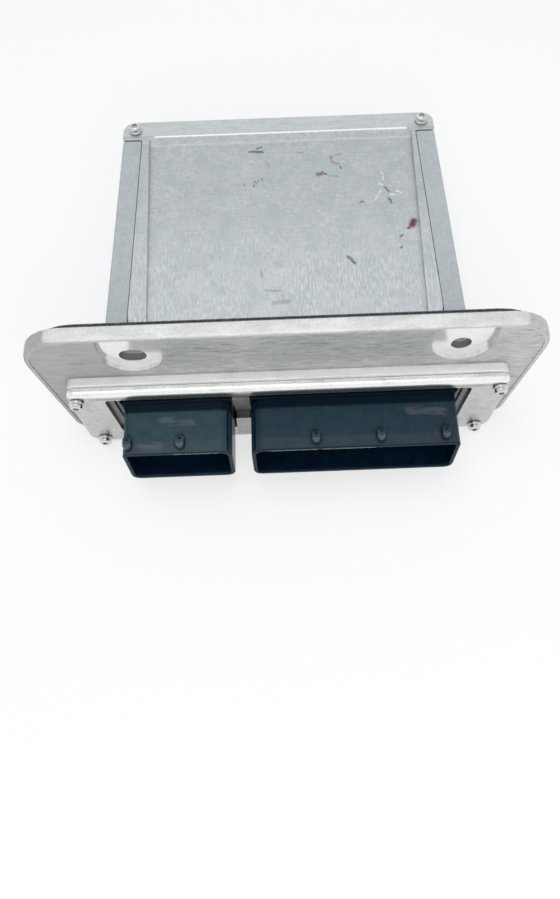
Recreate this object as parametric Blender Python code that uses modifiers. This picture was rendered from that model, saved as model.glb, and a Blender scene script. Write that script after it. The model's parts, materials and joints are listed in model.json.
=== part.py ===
"""Engine control unit: a cast aluminium box with a mounting flange, a screwed lid and a connector header.

Metres, +Z up. The connectors look along -Y and the flange stands across them. The layout is measured in Y
from the flange's front face, on an empty that puts the origin at the middle of the foot of the whole unit.
"""

import math

import bmesh
import bpy
from mathutils import Matrix, Vector

COLLECTION = "engine_control_unit"
CUTTERS = "cutters"

# Clearances between pieces, and how far one shape runs into the next before they are joined or cut.
SEAT_GAP = 0.0003
FIT_GAP = 0.0004
SCREW_GAP = 0.0003
MERGE = 0.001
WELD = 0.000001

# Fineness of round shapes. FULL_ARC keeps the two arcs of a round end a hair apart.
ARC_STEP = math.radians(15)
COARSE_RADIUS = 0.0045
FULL_ARC = 0.999
MOUNT_HOLE_SIDES = 24
OUTSIDE_SIDES = 16
INSIDE_SIDES = 12
SMALL_HOLE_SIDES = 8

# Two shrouds of the connector header. They set the widths of the frame, the flange and the box.
SHROUD_HEIGHT = 0.0314
SHROUD_REACH = 0.0296
SHROUD_WALL = 0.0020
SMALL_WIDTH = 0.0547
LARGE_WIDTH = 0.1046
SHROUD_SPACING = 0.0096
SHROUD_SHIFT = 0.00055
SHROUD_RADIUS = 0.0032
SHROUD_FOOT_RADIUS = 0.0044
SHROUD_WIDE_RADIUS = 0.0065
SHROUD_ROUND = 0.0005

# The rest of the header: sealing flange, collar, and the bar across the shrouds' roots.
HEADER_FLANGE = 0.0037
HEADER_SEAL = 0.0012
HEADER_SEAL_WIDTH = 0.0018
COLLAR_DEPTH = 0.0120
BAR_HEIGHT = 0.0073
BAR_RISE = 0.0008
BAR_OUT = 0.0015
BAR_OVERHANG = 0.0005
BAR_ROUND = 0.0008

# Catches on the shrouds, placed by their distance from the shroud's left or right side.
NUB_WIDTH = 0.0039
NUB_LENGTH = 0.0090
NUB_STRAIGHT = 0.0034
NUB_HEIGHT = 0.0030
NUB_FALL = 0.9
NUB_ARC_STEPS = 8
NUB_SETBACK = 0.0042
NUB_HOLE_RADIUS = 0.0005
NUB_HOLE_DEPTH = 0.0022
NUB_HOLE_SETBACK = 0.0026
SMALL_NUBS_FROM_LEFT = (0.0028, 0.0291)
LARGE_NUBS_FROM_LEFT = (0.0326, 0.0650)
LARGE_NUB_FROM_RIGHT = 0.0073

# Coding teeth under the shrouds' top walls, as the start and length of each row.
KEY_HEIGHT = 0.0018
KEY_LENGTH = 0.0180
KEY_SETBACK = 0.0010
KEY_SPLIT = 0.0009
KEY_TEETH = 4
SMALL_KEY_FROM_RIGHT = 0.0295
SMALL_KEY_ROW = 0.0228
LARGE_KEYS_FROM_LEFT = ((0.0088, 0.0243), (0.0360, 0.0259))

# Contact blocks inside the shrouds.
BLOCK_FRONT = -0.0080
BLOCK_REAR = 0.0255
BLOCK_TOP_DROP = 0.0012
PIN_ROWS = 3
PIN_ROW_PITCH = 0.0070
SMALL_PIN_PITCH = 0.0034
LARGE_PIN_PITCH = 0.0040
PIN_SIDE_MARGIN = 0.0095
PIN_SIDE = 0.0011
PIN_REACH = 0.0100
BLADE_COUNT = 4
BLADE_WIDTH = 0.0028
BLADE_PITCH = 0.0052
BLADE_GAP = 0.0050

# Connector frame, held by four screws.
FRAME_THICKNESS = 0.0047
FRAME_BORDER = 0.0058
FRAME_LOW = 0.0005
FRAME_MARGIN = 0.0258
FRAME_SPREAD = 0.0022
FRAME_TOP_RADIUS = 0.0045
FRAME_FOOT_RADIUS = 0.0085
FRAME_ROUND = 0.0028
CUTOUT_SPREAD = 0.0028
CUTOUT_DROP = 0.0026
CUTOUT_RISE = 0.0017
CUTOUT_RADIUS = 0.0022
FIRST_LIP = 0.0036
SECOND_LIP = 0.0018
FRAME_HEADER_GAP = 0.0006
LIP_STEP = 0.0013
FRONT_STEP = 0.0020
LIP_RISE = 0.06
TONGUE_HEIGHT = 0.0105
TONGUE_GAP = 0.0007
TONGUE_RADIUS = 0.0008
TONGUE_DRAFT = 0.02

# Raised pad that the connector frame is screwed to.
PAD_HEIGHT = 0.0045
PAD_LOW = 0.0008
PAD_BORDER = 0.0020
PAD_INSET = 0.0010
PAD_RADIUS = 0.004
PAD_ROUND = 0.0005

# Mounting flange, cast in one with the box.
FLANGE_RISE = 0.0351
FLANGE_THICKNESS = 0.0080
FLANGE_MARGIN = 0.0077
FLANGE_LEAN = math.radians(7.5)
FLANGE_TOP_RADIUS = 0.020
FLANGE_FOOT_RADIUS = 0.008
FLANGE_ROUND = 0.0014
RIM_WIDTH = 0.0026
RIM_STEP = 0.0004

# Machined spot faces round the two mounting holes, measured down from the flange's top.
POCKET_WIDTH = 0.0306
POCKET_DEPTH = 0.0030
POCKET_DROP = 0.0160
POCKET_LIP = 0.0018
LEFT_POCKET_X = -0.0754
RIGHT_POCKET_X = 0.0855
MOUNT_HOLE_DROP = 0.0206
MOUNT_HOLE_RADIUS = 0.00505
SLOT_STRETCH = 0.0034

# Opening through pad and flange, with a seat for the header's seal.
OPENING_MARGIN = 0.0025
OPENING_DROP = 0.0026
OPENING_RISE = 0.0015
OPENING_RADIUS = 0.003
SEAT_WIDTH = 0.0030
SEAT_DEPTH = 0.0055

# Box behind the flange.
BODY_LENGTH = 0.1645
BODY_MARGIN = 0.0082
BODY_DRAFT = 0.0047
BODY_CORNER = 0.0068
BODY_ROUND = 0.0016
BODY_FOOT = 0.0090
BODY_FOOT_TO_SHROUD = 0.0066
OPENING_TO_SHOULDER = 0.0050
SHOULDER_STEP = 0.0047
WALL = 0.0030
LEDGE_THICKNESS = 0.0030
CAVITY_RADIUS = 0.006

# Cooling ribs under the box, which reach the flange's foot.
RIB_PITCH = 0.0200
RIB_SIDE_MARGIN = 0.0085
RIB_THICKNESS = 0.0026
RIB_START = 0.0180
RIB_REAR_INSET = 0.0040
RIB_SLANT = 0.0050

# Lid: a slab let into the box nearly flush with its shoulders, with a rear tab as wide as the box.
LID_RISE = 0.0008
LID_FRONT = 0.0290
FRONT_SHOULDER = 0.0119
REAR_SHOULDER = 0.0114
LID_CORNER = 0.0080
TAB_DEPTH = 0.0135
TAB_NOTCH_RADIUS = 0.0016
LID_ROUND = 0.0005
PANEL_DEPTH = 0.0030
PANEL_REAR_SIDE = 0.0042
PANEL_FRONT_SIDE = 0.0102
PANEL_RIGHT_EXTRA = 0.0018
PANEL_RADIUS = 0.0035
PANEL_FRONT_BORDER = 0.0026
PANEL_SLOPE_RUN = 0.0036
PANEL_REAR_BORDER = 0.0118
TONGUE_WIDTH = 0.0240
TONGUE_LENGTH = 0.0050
TONGUE_THICKNESS = 0.0014
TONGUE_X = 0.0450

# Window under the lid and the gasket round it.
WINDOW_MARGIN = 0.0115
WINDOW_RADIUS = 0.006
GASKET_WIDTH = 0.0020
GASKET_HEIGHT = 0.0010
GASKET_INSET = 0.0060

# Flange seal, a ribbed rubber loop behind the flange.
SEAL_THICKNESS = 0.0017
SEAL_INSET = 0.0012
SEAL_CORNER_RADIUS = 0.0250
SEAL_INNER_RADIUS = 0.0083
SEAL_WIDTH = 0.0085
SEAL_BODY_GAP = 0.0008
SEAL_GROOVE_WIDTH = 0.0005
SEAL_GROOVE_DEPTH = 0.0007

# Screws with round heads: M4 outside, M3 on the board. A head's curve is in shares of its radius and height.
M4_RADIUS = 0.0020
M4_HEAD_RADIUS = 0.0038
M4_HEAD_HEIGHT = 0.0038
M4_DRIVE_RADIUS = 0.0016
M4_DRIVE_DEPTH = 0.0014
STAR_POINTS = 6
STAR_WAIST = 0.72
M3_RADIUS = 0.0015
M3_HEAD_RADIUS = 0.0028
M3_HEAD_HEIGHT = 0.0018
COLLAR_HEAD_CURVE = ((0.66, 0.94), (0.86, 0.74), (0.86, 0.40), (1.0, 0.32))
PLAIN_HEAD_CURVE = ((0.72, 0.90), (1.0, 0.36))
FRAME_SCREW_LENGTH = 0.0110
LID_SCREW_LENGTH = 0.0120
BOARD_SCREW_LENGTH = 0.0050
UPPER_SCREW_SIDE = 0.0052
UPPER_SCREW_DROP = 0.0063
LOWER_SCREW_SIDE = 0.0085
LOWER_SCREW_Z = 0.0059
LID_SCREW_SIDE = 0.0072
LID_SCREW_REAR_INSET = 0.0066
COLUMN_RADIUS = 0.0058

# Circuit board, and the parts on it by their distance from its middle and its front or rear edge.
BOARD_STANDOFF = 0.0045
BOARD_THICKNESS = 0.0016
BOARD_SIDE_GAP = 0.0044
BOARD_FRONT = 0.0145
BOARD_REAR_GAP = 0.0155
BOARD_HOLE_SIDE = 0.0180
BOARD_HOLE_FRONT = 0.0225
BOARD_HOLE_REAR = 0.0080
BOSS_RADIUS = 0.0040
THERMAL_PAD = 0.0007
DRIVERS_FROM_REAR = 0.0250
PEDESTAL_X = (-0.0560, 0.0200)
PEDESTAL_DEPTH = 0.0220
PROCESSORS_FROM_FRONT = 0.0655
CRYSTAL_FROM_FRONT = 0.0400
CHIP_ROUND = 0.0004
CAPACITOR_X = 0.0560
CAPACITORS_FROM_REAR = (0.0310, 0.0520, 0.0730)
CAPACITOR_RADIUS = 0.0080
CAPACITOR_HEIGHT = 0.0210
CAPACITOR_CRIMP = 0.0006
CRIMP_LOW = 0.0016
CRIMP_MIDDLE = 0.0024
CRIMP_HIGH = 0.0032
CHOKE_X = -0.0520
CHOKE_FROM_FRONT = 0.0435
CHOKE_RADIUS = 0.0085
CHOKE_HEIGHT = 0.0100
CHOKE_FLANGE = 0.0016
CHOKE_WAIST = 0.0060

# Widths, heights and places that follow from the sizes above.
HEADER_WIDTH = SMALL_WIDTH + SHROUD_SPACING + LARGE_WIDTH
SMALL_LEFT = SHROUD_SHIFT - HEADER_WIDTH / 2
SMALL_RIGHT = SMALL_LEFT + SMALL_WIDTH
LARGE_LEFT = SMALL_RIGHT + SHROUD_SPACING
LARGE_RIGHT = LARGE_LEFT + LARGE_WIDTH
HEADER_HALF = max(-SMALL_LEFT, LARGE_RIGHT)
BAR_HALF = HEADER_HALF + BAR_OVERHANG
CUTOUT_FOOT_HALF = HEADER_HALF + FRAME_HEADER_GAP + SECOND_LIP + FIRST_LIP
CUTOUT_TOP_HALF = CUTOUT_FOOT_HALF + CUTOUT_SPREAD
FRAME_FOOT_HALF = HEADER_HALF + FRAME_MARGIN
FRAME_TOP_HALF = FRAME_FOOT_HALF + FRAME_SPREAD
FLANGE_FOOT_HALF = FRAME_FOOT_HALF + FLANGE_MARGIN
OPENING_HALF = HEADER_HALF + OPENING_MARGIN
BODY_FRONT_HALF = OPENING_HALF + BODY_MARGIN
BODY_REAR_HALF = BODY_FRONT_HALF - BODY_DRAFT

CAVITY_LOW = BODY_FOOT + WALL
BOARD_LOW = CAVITY_LOW + BOARD_STANDOFF
BOARD_TOP = BOARD_LOW + BOARD_THICKNESS
SHROUD_LOW = BODY_FOOT + BODY_FOOT_TO_SHROUD
SHROUD_HIGH = SHROUD_LOW + SHROUD_HEIGHT
BAR_HIGH = SHROUD_HIGH + BAR_RISE
BAR_LOW = BAR_HIGH - BAR_HEIGHT
CUTOUT_LOW = SHROUD_LOW - CUTOUT_DROP
CUTOUT_HIGH = SHROUD_HIGH + CUTOUT_RISE
FRAME_TOP = CUTOUT_HIGH + FRAME_BORDER
PAD_TOP = FRAME_TOP + PAD_BORDER
FLANGE_HEIGHT = PAD_TOP + FLANGE_RISE
POCKET_Z = FLANGE_HEIGHT - POCKET_DROP
MOUNT_HOLE_Z = FLANGE_HEIGHT - MOUNT_HOLE_DROP
OPENING_LOW = SHROUD_LOW - OPENING_DROP
OPENING_HIGH = SHROUD_HIGH + OPENING_RISE
SHOULDER_Z = OPENING_HIGH + OPENING_TO_SHOULDER
LEDGE_Z = SHOULDER_Z - SHOULDER_STEP
CAVITY_HIGH = LEDGE_Z - LEDGE_THICKNESS
LID_UNDERSIDE = LEDGE_Z + SEAT_GAP
LID_TOP = SHOULDER_Z + LID_RISE
PANEL_Z = LID_TOP - PANEL_DEPTH

FRAME_BACK = -PAD_HEIGHT - SEAT_GAP
FRAME_FRONT = FRAME_BACK - FRAME_THICKNESS
MOUTH = FRAME_FRONT - SHROUD_REACH
SEAT_Y = SEAT_DEPTH - PAD_HEIGHT
CAVITY_FRONT = FLANGE_THICKNESS + WALL
BODY_REAR = FLANGE_THICKNESS + BODY_LENGTH
TAB_FRONT = BODY_REAR - TAB_DEPTH
BOARD_REAR = BODY_REAR - BOARD_REAR_GAP
DRIVERS_Y = BOARD_REAR - DRIVERS_FROM_REAR
PROCESSORS_Y = BOARD_FRONT + PROCESSORS_FROM_FRONT
CRYSTAL_Y = BOARD_FRONT + CRYSTAL_FROM_FRONT

# Chips by name: X, Y, width, depth and height.
CHIPS = {
    "microcontroller": (0.0180, PROCESSORS_Y, 0.0280, 0.0280, 0.0030),
    "flash_memory": (-0.0180, PROCESSORS_Y, 0.0140, 0.0190, 0.0022),
    "supply_regulator": (-0.0560, PROCESSORS_Y, 0.0105, 0.0150, 0.0045),
    "injector_driver": (-0.0440, DRIVERS_Y, 0.0160, 0.0160, 0.0034),
    "ignition_driver": (-0.0180, DRIVERS_Y, 0.0160, 0.0160, 0.0034),
    "throttle_driver": (0.0080, DRIVERS_Y, 0.0160, 0.0160, 0.0034),
    "clock_crystal": (0.0180, CRYSTAL_Y, 0.0115, 0.0048, 0.0036),
}

ALUMINIUM = ((0.72, 0.73, 0.74), 0.38, 1.0)
BLACK_PLASTIC = ((0.018, 0.020, 0.022), 0.42, 0.0)
RUBBER = ((0.015, 0.015, 0.016), 0.75, 0.0)
STEEL = ((0.62, 0.62, 0.61), 0.30, 1.0)
BOARD_GREEN = ((0.02, 0.12, 0.05), 0.45, 0.0)
CHIP_BLACK = ((0.02, 0.02, 0.02), 0.55, 0.0)
CAN_METAL = ((0.60, 0.61, 0.63), 0.35, 1.0)
PAD_GREY = ((0.45, 0.47, 0.50), 0.80, 0.0)


def cleared_scene():
    """Empties the scene and returns the collections for the parts and for the cutters."""
    for obj in list(bpy.data.objects):
        bpy.data.objects.remove(obj)
    made = []
    for name in (COLLECTION, CUTTERS):
        collection = bpy.data.collections.new(name)
        bpy.context.scene.collection.children.link(collection)
        made.append(collection)
    return made


parts, cutters = cleared_scene()


def make_datum():
    """The empty at the flange's front face. Its Y centres the unit between the mouths and the rear wall."""
    empty = bpy.data.objects.new("unit_datum", None)
    empty.location = (0, -(MOUTH + BODY_REAR) / 2, 0)
    parts.objects.link(empty)
    return empty


datum = make_datum()


def place(obj, location=(0, 0, 0)):
    """Hangs a shape on the datum as a cutter; finish() turns it into a part."""
    obj.parent = datum
    obj.location = location
    obj.hide_render = True
    obj.display_type = "WIRE"
    cutters.objects.link(obj)
    return obj


def finish(obj, name, look):
    """Names a shape, gives it its material and moves it from the cutters to the parts."""
    obj.name = name
    obj.data.name = name
    obj.hide_render = False
    obj.display_type = "TEXTURED"
    cutters.objects.unlink(obj)
    parts.objects.link(obj)
    colour, roughness, metallic = look
    material = bpy.data.materials.new(name)
    material.use_nodes = True
    shader = material.node_tree.nodes["Principled BSDF"]
    shader.inputs["Base Color"].default_value = (*colour, 1)
    shader.inputs["Roughness"].default_value = roughness
    shader.inputs["Metallic"].default_value = metallic
    obj.data.materials.clear()
    obj.data.materials.append(material)
    return obj


def rounded(corners):
    """Points round a closed outline whose corners are (x, y, radius)."""
    points = []
    for index, (x, y, radius) in enumerate(corners):
        here = Vector((x, y))
        if not radius:
            points.append(here)
            continue
        before = (Vector(corners[index - 1][:2]) - here).normalized()
        after = (Vector(corners[(index + 1) % len(corners)][:2]) - here).normalized()
        half = before.angle(after) / 2
        centre = here + (before + after).normalized() * radius / math.sin(half)
        start = here + before * radius / math.tan(half) - centre
        stop = here + after * radius / math.tan(half) - centre
        sweep = math.atan2(start.x * stop.y - start.y * stop.x, start.dot(stop))
        coarse = 2 if radius < COARSE_RADIUS else 1
        steps = max(2, math.ceil(abs(sweep) / (ARC_STEP * coarse) - 0.01))
        for step in range(steps + 1):
            turn = Matrix.Rotation(sweep * step / steps, 2)
            points.append(centre + turn @ start)
    return points


def rectangle(left, right, low, high, radius=0.0):
    return rounded([(left, low, radius), (right, low, radius), (right, high, radius), (left, high, radius)])


def trapezoid(low_half, high_half, low, high, low_radius, high_radius):
    """Outline with its foot at low and its top at high, the same on both sides."""
    return rounded(
        [
            (-low_half, low, low_radius),
            (low_half, low, low_radius),
            (high_half, high, high_radius),
            (-high_half, high, high_radius),
        ]
    )


def prism(outline, thickness):
    """Mesh of one flat outline with an even thickness about its plane."""
    shape = bmesh.new()
    foot = shape.faces.new([shape.verts.new((x, y, -thickness / 2)) for x, y in outline])
    grown = bmesh.ops.extrude_face_region(shape, geom=[foot])["geom"]
    top = [item for item in grown if isinstance(item, bmesh.types.BMVert)]
    bmesh.ops.translate(shape, verts=top, vec=(0, 0, thickness))
    bmesh.ops.recalc_face_normals(shape, faces=shape.faces)
    mesh = bpy.data.meshes.new("prism")
    shape.to_mesh(mesh)
    shape.free()
    return mesh


def loop(outlines, thickness):
    """Mesh between a flat outline and a second one inside it, with an even thickness about their plane."""
    curve = bpy.data.curves.new("outline", "CURVE")
    curve.dimensions = "2D"
    curve.fill_mode = "BOTH"
    curve.extrude = thickness / 2
    for outline in outlines:
        spline = curve.splines.new("POLY")
        spline.points.add(len(outline) - 1)
        for point, (x, y) in zip(spline.points, outline):
            point.co = (x, y, 0, 1)
        spline.use_cyclic_u = True
    flat = bpy.data.objects.new("outline", curve)
    bpy.context.scene.collection.objects.link(flat)
    graph = bpy.context.evaluated_depsgraph_get()
    mesh = bpy.data.meshes.new_from_object(flat.evaluated_get(graph))
    bpy.data.objects.remove(flat)
    bpy.data.curves.remove(curve)
    shape = bmesh.new()
    shape.from_mesh(mesh)
    bmesh.ops.remove_doubles(shape, verts=shape.verts, dist=WELD)
    bmesh.ops.recalc_face_normals(shape, faces=shape.faces)
    shape.to_mesh(mesh)
    shape.free()
    return mesh


def extruded(outlines, thickness):
    """Mesh of a flat outline, or of the loop between two, with an even thickness."""
    return prism(outlines[0], thickness) if len(outlines) == 1 else loop(outlines, thickness)


def level(outlines, low, high):
    """Solid of outlines in X and Y, between two heights."""
    mesh = extruded(outlines, high - low)
    return place(bpy.data.objects.new("level", mesh), (0, 0, (low + high) / 2))


def upright(outlines, front, back):
    """Solid of outlines in X and Z, between two places along Y."""
    mesh = extruded(outlines, back - front)
    mesh.transform(Matrix.Rotation(math.pi / 2, 4, "X"))
    return place(bpy.data.objects.new("upright", mesh), (0, (front + back) / 2, 0))


def side_on(outlines, left, right):
    """Solid of outlines in Y and Z, between two places along X."""
    mesh = extruded(outlines, right - left)
    turn = Matrix.Rotation(math.pi / 2, 4, "Z") @ Matrix.Rotation(math.pi / 2, 4, "X")
    mesh.transform(turn)
    return place(bpy.data.objects.new("side_on", mesh), ((left + right) / 2, 0, 0))


def boxes(spans):
    """One cutter mesh of separate boxes, each (x0, x1, y0, y1, z0, z1)."""
    shape = bmesh.new()
    for x0, x1, y0, y1, z0, z1 in spans:
        size = Matrix.Diagonal((x1 - x0, y1 - y0, z1 - z0, 1))
        centre = Matrix.Translation(((x0 + x1) / 2, (y0 + y1) / 2, (z0 + z1) / 2))
        bmesh.ops.create_cube(shape, size=1, matrix=centre @ size)
    mesh = bpy.data.meshes.new("boxes")
    shape.to_mesh(mesh)
    shape.free()
    return place(bpy.data.objects.new("boxes", mesh))


def cylinders(spots, radius, low, high, sides=OUTSIDE_SIDES, axis="Z"):
    """One cutter mesh of separate cylinders at (x, y) spots, or at (x, z) spots when they lie along Y."""
    shape = bmesh.new()
    for across, along in spots:
        if axis == "Z":
            matrix = Matrix.Translation((across, along, (low + high) / 2))
        else:
            lie_down = Matrix.Rotation(math.pi / 2, 4, "X")
            matrix = Matrix.Translation((across, (low + high) / 2, along)) @ lie_down
        bmesh.ops.create_cone(
            shape,
            cap_ends=True,
            segments=sides,
            radius1=radius,
            radius2=radius,
            depth=high - low,
            matrix=matrix,
        )
    mesh = bpy.data.meshes.new("cylinders")
    shape.to_mesh(mesh)
    shape.free()
    return place(bpy.data.objects.new("cylinders", mesh))


def round_edges(obj, chosen, radius, segments=2):
    """Rounds the edges for which chosen(first, second) is true of the two ends, in the shape's own axes."""
    shape = bmesh.new()
    shape.from_mesh(obj.data)
    edges = [edge for edge in shape.edges if chosen(*(vertex.co for vertex in edge.verts))]
    bmesh.ops.bevel(
        shape, geom=edges, offset=radius, offset_type="OFFSET", segments=segments, profile=0.5, affect="EDGES"
    )
    shape.to_mesh(obj.data)
    shape.free()
    return obj


def on_side(axis, sign):
    """Test for round_edges: both ends lie on the shape's outer face on that side."""

    def test(first, second):
        return first[axis] * sign > 0 and abs(first[axis] - second[axis]) < WELD

    return test


def combine(target, other, operation):
    modifier = target.modifiers.new(operation.lower(), "BOOLEAN")
    modifier.operation = operation
    modifier.solver = "EXACT"
    modifier.object = other
    return target


def cut(target, *others):
    for other in others:
        combine(target, other, "DIFFERENCE")
    return target


def join(target, *others):
    for other in others:
        combine(target, other, "UNION")
    return target


def body_half(y):
    """Half width of the box at a place along its drafted length."""
    share = (y - FLANGE_THICKNESS) / BODY_LENGTH
    return BODY_FRONT_HALF + (BODY_REAR_HALF - BODY_FRONT_HALF) * share


def lid_half(y):
    """Half width of the lid's slab, which leaves a shoulder of the box on each side."""
    share = (y - LID_FRONT) / (TAB_FRONT - LID_FRONT)
    return body_half(y) - FRONT_SHOULDER - (REAR_SHOULDER - FRONT_SHOULDER) * share


def body_outline(front, inset, radius):
    """Plan of the box from a front place to its rear wall, drawn in by inset."""
    rear = BODY_REAR - inset
    return trapezoid(body_half(front) - inset, body_half(rear) - inset, front, rear, 0, radius)


def slab_outline(grow, front_radius=LID_CORNER, rear_radius=0.0):
    """Plan of the lid's slab with its edges moved out by grow, up to the rear tab."""
    return trapezoid(
        lid_half(LID_FRONT) + grow,
        lid_half(TAB_FRONT) + grow,
        LID_FRONT - grow,
        TAB_FRONT + grow,
        front_radius,
        rear_radius,
    )


def flange_top_half():
    return FLANGE_FOOT_HALF + FLANGE_HEIGHT * math.tan(FLANGE_LEAN)


def flange_outline(inset, top_radius, foot_radius):
    """Outline of the flange with its edges drawn in by inset."""
    slant = inset / math.cos(FLANGE_LEAN)
    foot = FLANGE_FOOT_HALF + inset * math.tan(FLANGE_LEAN) - slant
    top = flange_top_half() - inset * math.tan(FLANGE_LEAN) - slant
    return trapezoid(foot, top, inset, FLANGE_HEIGHT - inset, foot_radius, top_radius)


def frame_screw_spots():
    return [
        (side * x, z)
        for x, z in (
            (FRAME_TOP_HALF - UPPER_SCREW_SIDE, FRAME_TOP - UPPER_SCREW_DROP),
            (FRAME_FOOT_HALF - LOWER_SCREW_SIDE, LOWER_SCREW_Z),
        )
        for side in (-1, 1)
    ]


def lid_screw_spots():
    y = BODY_REAR - LID_SCREW_REAR_INSET
    return [(side * (body_half(y) - LID_SCREW_SIDE), y) for side in (-1, 1)]


def board_half():
    return body_half(BOARD_REAR) - WALL - BOARD_SIDE_GAP


def board_screw_spots():
    x = board_half() - BOARD_HOLE_SIDE
    rows = (BOARD_FRONT + BOARD_HOLE_FRONT, BOARD_REAR - BOARD_HOLE_REAR)
    return [(side * x, y) for y in rows for side in (-1, 1)]


def pedestal_plan():
    """Place of the pedestal under the drivers, as (x0, x1, y0, y1)."""
    return (*PEDESTAL_X, DRIVERS_Y - PEDESTAL_DEPTH / 2, DRIVERS_Y + PEDESTAL_DEPTH / 2)


def pocket_cutter(x):
    """A round-bottomed spot face, straight up to a thin lip under the flange's top edge."""
    half = POCKET_WIDTH / 2
    top = FLANGE_HEIGHT - POCKET_LIP
    outline = rounded(
        [
            (x - half, POCKET_Z - half, half * FULL_ARC),
            (x + half, POCKET_Z - half, half * FULL_ARC),
            (x + half, top, 0),
            (x - half, top, 0),
        ]
    )
    return upright([outline], -PAD_HEIGHT, RIM_STEP + POCKET_DEPTH)


def mounting_holes():
    """A slot on the left and a round hole on the right, so the unit can be lined up while it is bolted on."""
    front = -MERGE
    back = FLANGE_THICKNESS + MERGE
    radius = MOUNT_HOLE_RADIUS
    half = radius + SLOT_STRETCH / 2
    slot = rectangle(
        LEFT_POCKET_X - half,
        LEFT_POCKET_X + half,
        MOUNT_HOLE_Z - radius,
        MOUNT_HOLE_Z + radius,
        radius * FULL_ARC,
    )
    hole = cylinders([(RIGHT_POCKET_X, MOUNT_HOLE_Z)], radius, front, back, MOUNT_HOLE_SIDES, "Y")
    return upright([slot], front, back), hole


def opening_outline(grow):
    """Outline of the opening for the header, moved out by grow."""
    return rectangle(
        -OPENING_HALF - grow, OPENING_HALF + grow, OPENING_LOW - grow, OPENING_HIGH + grow, OPENING_RADIUS
    )


def lid_outline(grow, overhang):
    """Plan of the lid. Its edges move out by grow along the shoulders, and by overhang round the tab."""
    right = [
        (lid_half(LID_FRONT) + grow, LID_FRONT - grow, LID_CORNER),
        (lid_half(TAB_FRONT) + grow, TAB_FRONT - grow, TAB_NOTCH_RADIUS - grow),
        (body_half(TAB_FRONT) + overhang, TAB_FRONT - grow, TAB_NOTCH_RADIUS),
        (body_half(BODY_REAR) + overhang, BODY_REAR + overhang, BODY_CORNER if not overhang else 0),
    ]
    left = [(-x, y, radius) for x, y, radius in reversed(right)]
    return rounded([*right, *left])


def gasket_outlines(inner, outer):
    """A loop on the lid's ledge, between two distances in from the slab's edge."""
    return [
        slab_outline(-outer, WINDOW_RADIUS, WINDOW_RADIUS),
        slab_outline(-inner, WINDOW_RADIUS, WINDOW_RADIUS),
    ]


def tongue_spans(grow):
    """The two tongues on the lid's front edge, or their slots when grow is a clearance."""
    return [
        (
            side * TONGUE_X - TONGUE_WIDTH / 2 - grow,
            side * TONGUE_X + TONGUE_WIDTH / 2 + grow,
            LID_FRONT - TONGUE_LENGTH - grow,
            LID_FRONT + MERGE * 2,
            LID_UNDERSIDE - grow,
            LID_UNDERSIDE + TONGUE_THICKNESS + grow,
        )
        for side in (-1, 1)
    ]


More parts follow.
